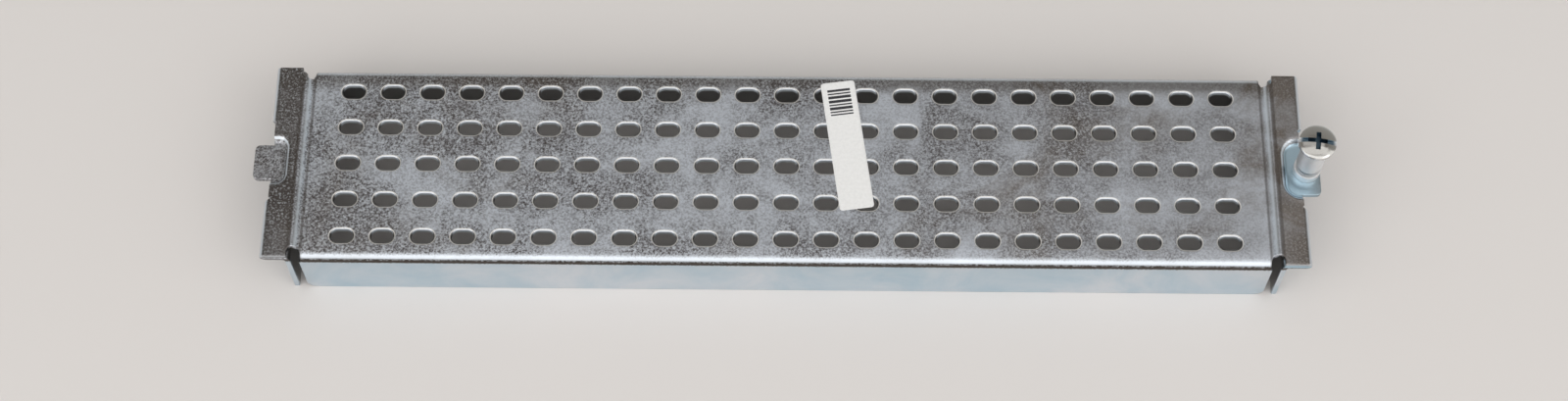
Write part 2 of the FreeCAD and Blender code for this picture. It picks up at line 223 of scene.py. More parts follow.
class StudioSettings(bpy.types.PropertyGroup):
    """Camera and lamps."""

    camera_place: FloatVectorProperty(
        name="Camera place", description="Where the camera stands", size=3, subtype="TRANSLATION",
        default=(0.00063, -0.21572, 0.46232),
    )
    camera_turn: FloatVectorProperty(
        name="Camera turn", description="Camera's rotation", size=3, subtype="EULER",
        default=(0.4348, -0.0017, 0.0086),
    )
    camera_lens: FloatProperty(
        name="Lens", description="Focal length in millimetres", default=59.86, subtype="DISTANCE_CAMERA"
    )
    softbox_power: FloatProperty(
        name="Softbox power", description="Power of the lamp in front", default=15.4, unit="POWER"
    )
    top_power: FloatProperty(
        name="Top power", description="Power of the strip above the front", default=2.4, unit="POWER"
    )
    fill_power: FloatProperty(
        name="Fill power", description="Power of the lamp on each side", default=3.4, unit="POWER"
    )
    overhead_power: FloatProperty(
        name="Overhead power", description="Power of the lamp above the back", default=0.9, unit="POWER"
    )


# Mesh helpers

def span(start, end, steps):
    """Evenly spaced values from start to end, both included."""
    return [start + (end - start) * i / steps for i in range(steps + 1)]


def chain(*stretches):
    """Lists of values that share their end points, joined into one."""
    values = list(stretches[0])
    for stretch in stretches[1:]:
        values += stretch[1:]
    return values


def mirrored(values):
    """A list that starts at zero, carried over to the negative side too."""
    return [-value for value in reversed(values[1:])] + list(values)


def smooth(share):
    """Soft step from 0 to 1."""
    share = min(max(share, 0.0), 1.0)
    return share * share * (3 - 2 * share)


def corner_rows(end, radius):
    """Distances along a strip over its rounded corner, with the strip's inset at each.

    The last turn is the widest, so that its mesh lines leave room for the cut edge's rounding.
    """
    turns = [math.radians(degrees) for degrees in (0, 15, 30, 45, 60, 90)]
    return [(end - radius + radius * math.sin(a), radius * (1 - math.cos(a))) for a in turns]


def new_piece(name, mesh, body, slot, finish, *nodes):
    """Links a piece that stands for CAD nodes, rides on a body and wears the given finish; slot is not
    used.
    """
    piece = bpy.data.objects.new(name, mesh)
    bpy.context.scene.collection.objects.link(piece)
    piece.data.materials.clear()
    piece.data.materials.append(finish)
    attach(piece, body)
    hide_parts(*nodes)
    return piece


def even_shading(piece):
    """Smooth shading that keeps large flat faces flat beside their rounded edges."""
    piece.data.shade_smooth()
    weighted = piece.modifiers.new("even_shading", "WEIGHTED_NORMAL")
    weighted.weight = FLAT_WEIGHT
    weighted.keep_sharp = True


class Sheet:
    """Middle surface of a sheet, drawn patch by patch and then given its thickness.

    A point is (place, half): half leads from the middle surface to the front.
    """

    def __init__(self):
        self.mesh = bmesh.new()
        self.half = self.mesh.verts.layers.float_vector.new("half")
        self.rolled = self.mesh.verts.layers.float.new("rolled")

    def corner(self, point, rolled=0.0):
        """One point of the middle surface; rolled is 1 on an edge that gets the wide rounding."""
        vert = self.mesh.verts.new(point[0])
        vert[self.half] = point[1]
        vert[self.rolled] = rolled
        return vert

    def face(self, corners):
        """One face, turned so that its front looks along its corners' halves."""
        first, second = (corners[2].co - corners[0].co), (corners[-1].co - corners[1].co)
        front = sum((corner[self.half] for corner in corners), Vector())
        if first.cross(second).dot(front) < 0:
            corners = corners[::-1]
        self.mesh.faces.new(corners)

    def patch(self, rows, first_row_rolled=False):
        """Quads between neighbouring rows of points."""
        verts = []
        for index, row in enumerate(rows):
            rolled = 1.0 if first_row_rolled and index == 0 else 0.0
            verts.append([self.corner(point, rolled) for point in row])
        for row, after in zip(verts, verts[1:]):
            for i in range(len(row) - 1):
                self.face([row[i], row[i + 1], after[i + 1], after[i]])

    def zip_rows(self, row, after, axis):
        """Triangles between two rows of unlike point counts, matched by one coordinate."""
        row = [self.corner(point) for point in row]
        after = [self.corner(point) for point in after]
        i = j = 0
        while i < len(row) - 1 or j < len(after) - 1:
            row_done, after_done = i == len(row) - 1, j == len(after) - 1
            if after_done or (not row_done and row[i + 1].co[axis] <= after[j + 1].co[axis]):
                self.face([row[i], row[i + 1], after[j]])
                i += 1
            else:
                self.face([row[i], after[j + 1], after[j]])
                j += 1

    def thicken(self, name, roll, edge):
        """Mesh of the solid sheet, its cut edges weighted for rounding by roll or by edge."""
        bmesh.ops.remove_doubles(self.mesh, verts=self.mesh.verts, dist=WELD)
        self.mesh.verts.index_update()
        verts = list(self.mesh.verts)
        count = len(verts)
        places = [v.co + v[self.half] for v in verts] + [v.co - v[self.half] for v in verts]
        faces, weights = [], {}
        for face in self.mesh.faces:
            around = [v.index for v in face.verts]
            faces.append(around)
            faces.append([i + count for i in reversed(around)])
        for side in self.mesh.edges:
            if not side.is_boundary:
                continue
            loop = side.link_loops[0]
            a, b = loop.vert.index, loop.link_loop_next.vert.index
            faces.append([b, a, a + count, b + count])
            rolled = all(v[self.rolled] > 0.5 for v in side.verts)
            weights[frozenset((a, b))] = 1.0 if rolled else edge / roll
            weights[frozenset((a + count, b + count))] = edge / roll
        self.mesh.free()
        mesh = bpy.data.meshes.new(name)
        mesh.from_pydata(places, [], faces)
        marks = mesh.attributes.new("bevel_weight_edge", "FLOAT", "EDGE")
        for side in mesh.edges:
            marks.data[side.index].value = weights.get(frozenset(side.vertices), 0.0)
        return mesh


def round_cut_edges(piece, width, segments=3):
    """Rounds the weighted edges of a thickened sheet."""
    bevel = piece.modifiers.new("rounded_edges", "BEVEL")
    bevel.limit_method = "WEIGHT"
    bevel.width = width
    bevel.segments = segments
    bevel.use_clamp_overlap = False


def bent_path(start, heading, moves):
    """Stations (along, up, front along, front up) on the middle line of a bent strip.

    A move is (length, None, steps) for a flat or (middle radius, turn, steps) for a bend, left positive.
    """
    along, up = start
    stations = []

    def mark():
        stations.append((along, up, -math.sin(heading), math.cos(heading)))

    mark()
    for size, turn, steps in moves:
        for _ in range(steps):
            if turn is None:
                along += size / steps * math.cos(heading)
                up += size / steps * math.sin(heading)
            else:
                side = math.copysign(size, turn)
                along -= side * math.sin(heading)
                up += side * math.cos(heading)
                heading += turn / steps
                along += side * math.sin(heading)
                up -= side * math.cos(heading)
            mark()
    return stations


# The folded sheet

class PanelForm:
    """Heights and places on the sheet's middle surface."""

    CELL_STEPS = 8                 # mesh steps along each side of a slot's cell
    SLOT_RINGS = (0.0, 0.5 * MM, 0.95 * MM)   # mesh lines round a slot, out from its edge
    BEND_STEPS = 9                 # mesh steps round a long bend
    COLUMN_STEP = 0.42 * MM        # mesh width across the pockets
    WIDE_STEP = 0.8 * MM           # mesh width on the plain part of an ear
    MARGIN_START = 0.97 * MM       # even mesh starts this far past the last slots' cells
    MARGIN_END = 0.6 * MM          # even mesh ends this far short of the flange's end
    NOTCH_FRAME = 0.3 * MM         # plain ear mesh ends this far short of the notch's bottom
    NOTCH_PAST = 0.75 * MM         # the ear's flat mesh starts this far past the notch
    HOLE_FRAME = 0.6 * MM          # mesh round the ferrule's hole reaches this far past it

    def __init__(self, sheet, ear):
        self.sheet, self.ear = sheet, ear
        self.half = sheet.thickness / 2
        self.face = FACE_TOP - self.half
        self.rise = SHEET_HIGH.z - FACE_TOP
        pitch = sheet.slot_pitch
        self.cells_end = sheet.slot_columns * pitch / 2
        self.flange_end = (sheet.slot_columns - 1) * pitch / 2 + sheet.end_margin
        self.hem_edge = self.flange_end + ear.reach
        self.hem_centre = self.hem_edge - sheet.thickness - ear.hem_gap / 2
        self.bare_edge = self.hem_edge - ear.bare_setback
        self.ear_half = SHEET_HIGH.y - ear.setback
        # Long bend: a gentle crown, then the tight bend down to the flange
        self.bend = sheet.bend_radius + self.half
        self.flange_y = SHEET_HIGH.y - self.half
        self.bend_start = self.flange_y - self.bend * (1 - math.sin(sheet.crown_tilt))
        self.crown_start = self.bend_start - sheet.crown_radius * math.sin(sheet.crown_tilt)
        self.flange_top = (
            self.face - self.crown_drop(self.bend_start) - self.bend * math.cos(sheet.crown_tilt)
        )
        # Joggle: two bends and a straight slope up to the ear
        self.turn = ear.joggle_radius + self.half
        tilt = ear.joggle_tilt
        self.turn_run = self.turn * math.sin(tilt)
        self.turn_rise = self.turn * (1 - math.cos(tilt))
        self.slope_run = (self.rise - 2 * self.turn_rise) / math.tan(tilt)
        self.joggle_run = 2 * self.turn_run + self.slope_run
        # Corner notch
        self.notch = ear.relief_width / 2
        self.notch_x = self.flange_end - ear.relief_bite + self.notch
        self.notch_y = self.ear_half - ear.relief_depth + self.notch
        self.notch_meets_end = self.notch_y - math.sqrt(
            self.notch ** 2 - (self.notch_x - self.flange_end) ** 2
        )
        self.plain_half = self.notch_y - self.notch - self.NOTCH_FRAME
        self.ear_plain = self.notch_x + self.notch + self.NOTCH_PAST
        self.hole = ear.ferrule_hole / 2
        self.hole_left = SCREW_SEAT.x - self.hole - self.HOLE_FRAME

    def crown_drop(self, y):
        """How far the face has sunk at y on its way to the long bend."""
        past = abs(y) - self.crown_start
        radius = self.sheet.crown_radius
        return radius - math.sqrt(radius ** 2 - past ** 2) if past > 0 else 0.0

    def crown_slope(self, y):
        """Slope of the face at y, away from its middle."""
        past = max(abs(y) - self.crown_start, 0.0)
        return math.copysign(past / self.sheet.crown_radius, y)

    def joggle(self, x):
        """Rise above the face and steepness at x on the way up to the ear."""
        past = x - self.flange_end
        left = self.joggle_run - past
        if past <= 0:
            return 0.0, 0.0
        if past < self.turn_run:
            return self.turn - math.sqrt(self.turn ** 2 - past ** 2), math.asin(past / self.turn)
        if left > self.turn_run:
            tilt = self.ear.joggle_tilt
            return self.turn_rise + (past - self.turn_run) * math.tan(tilt), tilt
        if left > 0:
            low = self.turn - math.sqrt(self.turn ** 2 - left ** 2)
            return self.rise - low, math.asin(left / self.turn)
        return self.rise, 0.0

    def relief_end(self, y):
        """End of the face and of the long bend at y, cut back by the corner notch."""
        y = abs(y)
        if y <= self.notch_meets_end:
            return self.flange_end
        if y < self.notch_y:
            return self.notch_x - math.sqrt(self.notch ** 2 - (self.notch_y - y) ** 2)
        return self.notch_x - self.notch

    def face_point(self, x, y, dip=0.0):
        """Point on the crowned face, sunk by dip."""
        slope = self.crown_slope(y)
        half = Vector((0, slope, 1)).normalized() * self.half
        return Vector((x, y, self.face - self.crown_drop(y) - dip)), half

    def ear_point(self, side, x, y):
        """Point on the joggle or the ear at the end given by side; x counts outwards."""
        rise, steep = self.joggle(x)
        fade = 1 - smooth((x - self.flange_end) / self.joggle_run)
        place = Vector((side * x, y, self.face + rise - fade * self.crown_drop(y)))
        front = Vector((-side * math.sin(steep), fade * self.crown_slope(y), math.cos(steep)))
        return place, front.normalized() * self.half


class PanelEnd:
    """One end of the sheet: its ear, pocket and tongue."""

    OUTER_STEPS = 6                # mesh steps from an ear's plain part to its side
    TURN_STEPS = 6                 # mesh steps in each bend of the joggle
    HEM_STEPS = 14                 # mesh steps round the hem
    HEM_LEAN = 0.8                 # lean of the hem's end beside the window, in mesh widths
    TIP_SPREAD = 1.4               # stretch drawn in at a tip's corner, in corner radii
    WINDOW_DRAW = 0.85             # draw-in of the bare edge for each length past the hem's centre
    HOLE_RINGS = (0.0, 0.45, 1.0)  # mesh lines from the ferrule's hole to the mesh about it

    def __init__(self, form, side):
        ear = form.ear
        self.form, self.side = form, side
        hook = side < 0
        self.pocket_half = (ear.hook_pocket_width if hook else ear.tab_pocket_width) / 2
        self.floor_inner = form.hem_edge - (ear.hook_pocket_reach if hook else ear.tab_pocket_reach)
        self.pocket_corner = ear.hook_pocket_corner if hook else ear.tab_pocket_corner
        self.tongue_half = (ear.hook_width if hook else ear.tab_width) / 2
        self.tip = -SHEET_LOW.x if hook else SHEET_HIGH.x
        self.hole_half = 0.0 if hook else form.hole + form.HOLE_FRAME
        self.columns = mirrored(self.half_columns())
        self.outer = span(form.plain_half, form.ear_half, self.OUTER_STEPS)
        self.joggle_stations = self.stations()

    def half_columns(self):
        """Mesh lines across one half of the ear, from its middle to the plain part's edge."""
        form = self.form
        stops = (self.hole_half, self.tongue_half, form.ear.window / 2)
        marks = [0.0] + [stop for stop in stops if stop > 0]
        stretches = []
        for start, end in zip(marks, marks[1:]):
            stretches.append(span(start, end, math.ceil((end - start) / form.COLUMN_STEP)))
        plain = form.plain_half - marks[-1]
        stretches.append(span(marks[-1], form.plain_half, math.ceil(plain / form.WIDE_STEP)))
        return chain(*stretches)

    def stations(self):
        """Mesh lines along the joggle, close together in its two bends."""
        form, steps = self.form, self.TURN_STEPS
        bend = [form.turn * math.sin(form.ear.joggle_tilt * i / steps) for i in range(steps + 1)]
        first = [form.flange_end + run for run in bend]
        second = [form.flange_end + form.joggle_run - run for run in reversed(bend)]
        return chain(first, span(first[-1], second[0], 2), second, span(second[-1], form.ear_plain, 3))

    def drop(self, x, y):
        """How far the pressed pocket lies below the ear."""
        corner = self.pocket_corner
        across = self.floor_inner + corner - x
        beside = abs(y) - (self.pocket_half - corner)
        outside = math.hypot(max(across, 0), max(beside, 0)) + min(max(across, beside), 0)
        return self.form.rise * (1 - smooth((outside - corner) / self.form.ear.pocket_slope))

    def ear_point(self, x, y):
        """Point on the joggle, the ear next to it or the pocket's near end."""
        place, half = self.form.ear_point(self.side, x, y)
        place.z -= self.drop(x, y)
        return place, half

    def flat_point(self, x, y):
        """Point on the ear's flat part, its pocket or its tongue."""
        form = self.form
        height = form.face + form.rise - self.drop(x, y)
        return Vector((self.side * x, y, height)), Vector((0, 0, form.half))

    def edge_columns(self):
        """Mesh lines across the whole face at this end, out to the long bends."""
        form = self.form
        meets = form.notch_meets_end
        last = [form.plain_half, (form.plain_half + meets) / 2, meets, form.bend_start]
        return mirrored(chain([y for y in self.columns if y >= 0], last))

    def draw(self, sheet):
        """The whole end, from the last slots to the tongue and the end wall."""
        self.draw_margin(sheet)
        self.draw_joggle(sheet)
        for across in (-1, 1):
            self.draw_notch(sheet, across)
            self.draw_hem(sheet, across)
        self.draw_pocket(sheet)
        self.draw_wall(sheet)

    def margin_lines(self):
        """Mesh lines along the plain margin past the slots."""
        form = self.form
        return span(form.cells_end + form.MARGIN_START, form.flange_end - form.MARGIN_END, 3)

    def draw_margin(self, sheet):
        """Plain face between the last slots and the joggle."""
        form, side = self.form, self.side
        columns = self.edge_columns()
        lines = self.margin_lines()
        rows = [[form.face_point(side * x, y) for y in columns] for x in lines]
        rows.append([form.face_point(side * form.relief_end(y), y) for y in columns])
        sheet.patch(rows)
        cells = [form.face_point(side * form.cells_end, y) for y in cell_levels(form)]
        sheet.zip_rows(cells, rows[0], 1)

    def draw_joggle(self, sheet):
        """Step up to the ear, between the corner notches."""
        sheet.patch([[self.ear_point(x, y) for y in self.columns] for x in self.joggle_stations])

    def draw_notch(self, sheet, across):
        """Sheet round the corner notch, from the plain ear's edge to the notch's edge."""
        form = self.form
        inner = [(x, form.plain_half) for x in self.joggle_stations]
        turn_at = len(inner) - 1
        inner += [(form.ear_plain, y) for y in self.outer[1:]]
        start = math.atan2(form.notch_meets_end - form.notch_y, form.flange_end - form.notch_x)
        # The notch's edge: round its bottom, up to its outer side, then straight out to the ear's side
        corner = math.radians(-45)
        straight = 2
        bend_end = len(inner) - 1 - straight
        notch = []
        for i in range(len(inner)):
            if i <= turn_at:
                turn = start + (corner - start) * i / turn_at
            else:
                turn = corner * max(0.0, 1 - (i - turn_at) / (bend_end - turn_at))
            y = form.notch_y + form.notch * math.sin(turn)
            if i > bend_end:
                y = form.notch_y + (form.ear_half - form.notch_y) * (i - bend_end) / straight
            notch.append((form.notch_x + form.notch * math.cos(turn), y))
        rows = []
        for share in (0.0, 0.5, 1.0):
            row = []
            for (x0, y0), (x1, y1) in zip(inner, notch):
                row.append(self.ear_point(x0 + (x1 - x0) * share, across * (y0 + (y1 - y0) * share)))
            rows.append(row)
        sheet.patch(rows)

    def side_columns(self, across):
        """Mesh lines over the hemmed stretch on one side of the window."""
        window = self.form.ear.window / 2
        plain = [y for y in self.columns if y > window - WELD]
        return [across * y for y in chain(plain, self.outer)]

    def ear_lines(self):
        """Mesh lines along the ear's flat part, out to the hem."""
        form = self.form
        return chain(
            span(form.ear_plain, form.hole_left, 6), span(form.hole_left, form.hem_centre, 5)
        )

    def draw_hem(self, sheet, across):
        """Hemmed stretch of the ear with its return layer and the upper part of the end wall."""
        form, ear = self.form, self.form.ear
        columns = self.side_columns(across)
        sheet.patch([[self.flat_point(x, y) for y in columns] for x in self.ear_lines()])
        wall_bend = ear.wall_bend + form.half
        wall_x = form.flange_end + ear.wall_gap + form.half
        return_level = form.face - ear.hem_gap
        window_foot = FACE_TOP - ear.window_depth
        path = bent_path((form.hem_centre, form.face + form.rise), 0.0, [
            (ear.hem_gap / 2 + form.half, -math.pi, self.HEM_STEPS),
            (form.hem_centre - wall_x - wall_bend, None, 3),
            (wall_bend, math.pi / 2, 7),
            (return_level - wall_bend - window_foot, None, 2),
        ])
        room = columns[1] - columns[0]
        rows = []
        for index, (x, z, front_x, front_z) in enumerate(path):
            half = Vector((self.side * front_x, 0, front_z)) * form.half
            lean = self.HEM_LEAN * room * math.sin(math.pi * min(index / self.HEM_STEPS, 1.0))
            row = [columns[0] + lean] + columns[1:]
            rows.append([(Vector((self.side * x, y, z)), half) for y in row])
        sheet.patch(rows)

    def draw_wall(self, sheet):
        """End wall below the window."""
        form, ear = self.form, self.form.ear
        columns = mirrored(chain([y for y in self.columns if y >= 0], self.outer))
        x = self.side * (form.flange_end + ear.wall_gap + form.half)
        half = Vector((self.side * form.half, 0, 0))
        levels = span(FACE_TOP - ear.window_depth, 0.0, 5)
        sheet.patch([[(Vector((x, y, z)), half) for y in columns] for z in levels])

    def tongue_rows(self):
        """Mesh lines along the tongue, with the inset of its rounded tip at each."""
        form, corner = self.form, self.form.ear.tip_corner
        rows = [(x, 0.0) for x in span(form.bare_edge, self.tip - corner, 5)]
        return rows + corner_rows(self.tip, corner)[1:]

    def tongue_y(self, y, inset):
        """Place across the tongue where its tip's corner takes inset off its half width."""
        corner = self.TIP_SPREAD * self.form.ear.tip_corner
        plain = self.tongue_half - corner
        past = abs(y) - plain
        return y if past <= 0 else math.copysign(plain + past * (corner - inset) / corner, y)

    def bare_y(self, x, y):
        """Place across the window's bare edge, drawn in a little beside the hem's ends."""
        form = self.form
        limit = form.ear.window / 2 - self.WINDOW_DRAW * max(x - form.hem_centre, 0.0)
        return min(max(y, -limit), limit)

    def draw_pocket(self, sheet):
        """Middle of the ear with its pressed pocket, and the tongue that runs out of it."""
        form = self.form
        lines = chain(self.ear_lines(), span(form.hem_centre, form.bare_edge, 2))
        middle = [y for y in self.columns if abs(y) < form.ear.window / 2 + WELD]
        tongue = [y for y in self.columns if abs(y) < self.tongue_half + WELD]
        rows = [[self.flat_point(x, self.bare_y(x, y)) for y in middle] for x in lines]
        tip_rows = [
            [self.flat_point(x, self.tongue_y(y, inset)) for y in tongue]
            for x, inset in self.tongue_rows()
        ]
        if self.hole_half == 0:
            sheet.patch(rows)
            sheet.patch(tip_rows)
            return
        before = [row for row, x in zip(rows, lines) if x < form.hole_left + WELD]
        beside = [row for row, x in zip(rows, lines) if x > form.hole_left - WELD]
        sheet.patch(before)
        for across in (-1, 1):
            for stretch in (beside, tip_rows):
                sheet.patch([
                    [point for point in row if across * point[0].y > self.hole_half - WELD]
                    for row in stretch
                ])
        self.draw_hole(sheet, beside + tip_rows[1:])

    def draw_hole(self, sheet, rows):
        """Tab round the ferrule's hole: rings from the hole to the mesh lines about it."""
        low = [min(row, key=lambda p: abs(p[0].y + self.hole_half)) for row in rows]
        high = [min(row, key=lambda p: abs(p[0].y - self.hole_half)) for row in rows]
        inside = [[p for p in row if abs(p[0].y) < self.hole_half - WELD] for row in (rows[0], rows[-1])]
        outline = low + inside[1] + high[::-1] + inside[0][::-1] + low[:1]
        middle = Vector((SCREW_SEAT.x, 0, rows[0][0][0].z))
        loops = [[] for _ in self.HOLE_RINGS]
        for place, half in outline:
            way = place - middle
            way.z = 0
            edge = Vector((middle.x, 0, place.z)) + way.normalized() * self.form.hole
            for loop, share in zip(loops, self.HOLE_RINGS):
                loop.append((edge.lerp(place, share), half))
        sheet.patch(loops)


def row_edges(form, row):
    """Lower and upper limit of one row of slot cells; the outer rows reach to the long bends."""
    rows, pitch = form.sheet.slot_rows, form.sheet.slot_pitch
    low = -form.bend_start if row == 0 else (row - rows / 2) * pitch
    high = form.bend_start if row == rows - 1 else (row + 1 - rows / 2) * pitch
    return low, high


def cell_levels(form):
    """Places across the face of all the points on the slot cells' ends."""
    stretches = [span(*row_edges(form, row), form.CELL_STEPS) for row in range(form.sheet.slot_rows)]
    return chain(*stretches)


def draw_slot(sheet, form, column, row):
    """One slot: rings of points from its edge out to the borders of its cell."""
    sizes = form.sheet
    x = (column - (sizes.slot_columns - 1) / 2) * sizes.slot_pitch
    y = (row - (sizes.slot_rows - 1) / 2) * sizes.slot_pitch
    xs = span(x - sizes.slot_pitch / 2, x + sizes.slot_pitch / 2, form.CELL_STEPS)
    ys = span(*row_edges(form, row), form.CELL_STEPS)
    border = [(u, ys[0]) for u in xs] + [(xs[-1], v) for v in ys[1:]]
    border += [(u, ys[-1]) for u in xs[-2::-1]] + [(xs[0], v) for v in ys[-2::-1]]
    radius = sizes.slot_width / 2
    spine = sizes.slot_length / 2 - radius
    reach = form.SLOT_RINGS[-1]
    rings = [[] for _ in form.SLOT_RINGS] + [[]]
    for u, v in border:
        root = Vector((x + min(max(u - x, -spine), spine), y))
        way = (Vector((u, v)) - root).normalized()
        for ring, past in zip(rings, form.SLOT_RINGS):
            place = root + way * (radius + past)
            ring.append(form.face_point(*place, sizes.slot_dish * (1 - past / reach) ** 2))
        rings[-1].append(form.face_point(u, v))
    sheet.patch(rings, first_row_rolled=True)


def draw_flange(sheet, form, across, ends):
    """One long bend and the flange below it; ends are the sheet's ends at -X and +X."""
    sizes = form.sheet
    cells = span(-form.cells_end, form.cells_end, sizes.slot_columns * form.CELL_STEPS)
    left = [-x for x in reversed(ends[0].margin_lines())]
    right = ends[1].margin_lines()
    tilt = sizes.crown_tilt
    rows = []
    for turn in span(tilt, math.pi / 2, form.BEND_STEPS):
        y = form.bend_start + form.bend * (math.sin(turn) - math.sin(tilt))
        z = form.flange_top + form.bend * math.cos(turn)
        half = Vector((0, across * math.sin(turn), math.cos(turn))) * form.half
        end = form.relief_end(y)
        xs = [-end] + left + cells + right + [end]
        rows.append([(Vector((x, across * y, z)), half) for x in xs])
    sheet.patch(rows)
    # The flange, its lower corners rounded
    half = Vector((0, across * form.half, 0))
    step = form.relief_end(form.flange_y)
    xs = [-form.flange_end, -step] + left + cells + right + [step, form.flange_end]
    corner = sizes.flange_corner
    levels = [(z, 0.0) for z in span(form.flange_top, corner, 4)]
    levels += [(corner - down, inset) for down, inset in corner_rows(corner, corner)[1:]]
    fixed = right[0]
    rows = []
    for z, inset in levels:
        row = []
        for x in xs:
            past = max(abs(x) - fixed, 0.0) * inset / (form.flange_end - fixed)
            row.append((Vector((x - math.copysign(past, x), across * form.flange_y, z)), half))
        rows.append(row)
    sheet.patch(rows)


# Finishes

# Scales of the noise in the finishes, in waves a metre
CLOUD_SCALE = 60.0             # clear and cloudy patches of the sheet's plating
STAIN_SCALE = 34.0             # brown stains of the plating
GRAIN_SCALE = 2600.0           # crystals of the plating
WAVE_SCALE = 60.0              # gentle waves of the rolled sheet
TINGE_SCALE = 260.0            # warm tinge of the screw
LATHE_SCALE = 9000.0           # lathe marks up the screw
MOTTLE_SCALE = 900.0           # oily mottle of the spring steel
FIBRE_SCALE = 1800.0           # fibres of the paper


def rgba(colour):
    """A colour with full opacity."""
    return (*colour, 1.0)


class Finish:
    """A node material, built step by step round one shader."""

    def __init__(self, name, **constants):
        self.material = bpy.data.materials.new(name)
        self.material.use_nodes = True
        self.tree = self.material.node_tree
        self.tree.nodes.clear()
        self.shader = self.tree.nodes.new("ShaderNodeBsdfPrincipled")
        for socket, value in constants.items():
            self.shader.inputs[socket.replace("_", " ")].default_value = value
        output = self.tree.nodes.new("ShaderNodeOutputMaterial")
        self.tree.links.new(self.shader.outputs["BSDF"], output.inputs["Surface"])

    def add(self, kind, inputs=None, **attributes):
        """A node of one kind, with its attributes set and its sockets fed."""
        node = self.tree.nodes.new("ShaderNode" + kind)
        for name, value in attributes.items():
            setattr(node, name, value)
        for socket, value in (inputs or {}).items():
            self.feed(value, node.inputs[socket])
        return node

    def feed(self, value, socket):
        """Links an output to a socket, or sets the socket to a plain value."""
        if isinstance(value, bpy.types.NodeSocket):
            self.tree.links.new(value, socket)
        else:
            socket.default_value = value

    def set(self, socket, value):
        """Feeds one of the shader's own sockets."""
        self.feed(value, self.shader.inputs[socket])

    def place(self):
        """Place on the piece, in metres of the shared frame at rest."""
        return self.add("TexCoord").outputs["Object"]

    def noise(self, place, scale, detail, roughness=0.5, distortion=0.0):
        """Cloudy values from 0 to 1, mostly near one half."""
        inputs = {
            "Vector": place, "Scale": scale, "Detail": detail, "Roughness": roughness,
            "Distortion": distortion,
        }
        return self.add("TexNoise", inputs).outputs["Fac"]

    def remap(self, value, low, high, to_low=0.0, to_high=1.0):
        """A value carried from one range to another and held at its ends."""
        inputs = {"Value": value, "From Min": low, "From Max": high, "To Min": to_low, "To Max": to_high}
        return self.add("MapRange", inputs).outputs["Result"]

    def reverse(self, mask):
        """1 where a mask is 0, and 0 where it is 1."""
        return self.remap(mask, 0.0, 1.0, 1.0, 0.0)

    def band(self, value, low, high, soft):
        """1 between two limits, fading to 0 over soft on each side."""
        rise = self.remap(value, low - soft, low)
        return self.product(rise, self.remap(value, high, high + soft, 1.0, 0.0))

    def calculate(self, operation, first, second=0.0):
        """Outcome of one Math node."""
        return self.add("Math", {0: first, 1: second}, operation=operation).outputs["Value"]

    def fold(self, operation, values):
        """Values joined one after another by the same operation."""
        result = values[0]
        for value in values[1:]:
            result = self.calculate(operation, result, value)
        return result

    def sum(self, *values):
        return self.fold("ADD", values)

    def difference(self, first, second):
        return self.calculate("SUBTRACT", first, second)

    def product(self, *values):
        return self.fold("MULTIPLY", values)

    def largest(self, *values):
        return self.fold("MAXIMUM", values)

    def smallest(self, *values):
        return self.fold("MINIMUM", values)

    def coats(self, base, *coats):
        """A base colour with other colours laid over it in turn, each by its own share."""
        colour = rgba(base)
        for share, over in coats:
            node = self.add("Mix", data_type="RGBA")
            for index, value in ((0, share), (6, colour), (7, rgba(over))):
                self.feed(value, node.inputs[index])
            colour = node.outputs[2]
        return colour

    def bump(self, height, distance):
        """Fine relief: a height of 1 stands out by distance."""
        node = self.add("Bump", {"Height": height, "Distance": distance})
        self.set("Normal", node.outputs["Normal"])


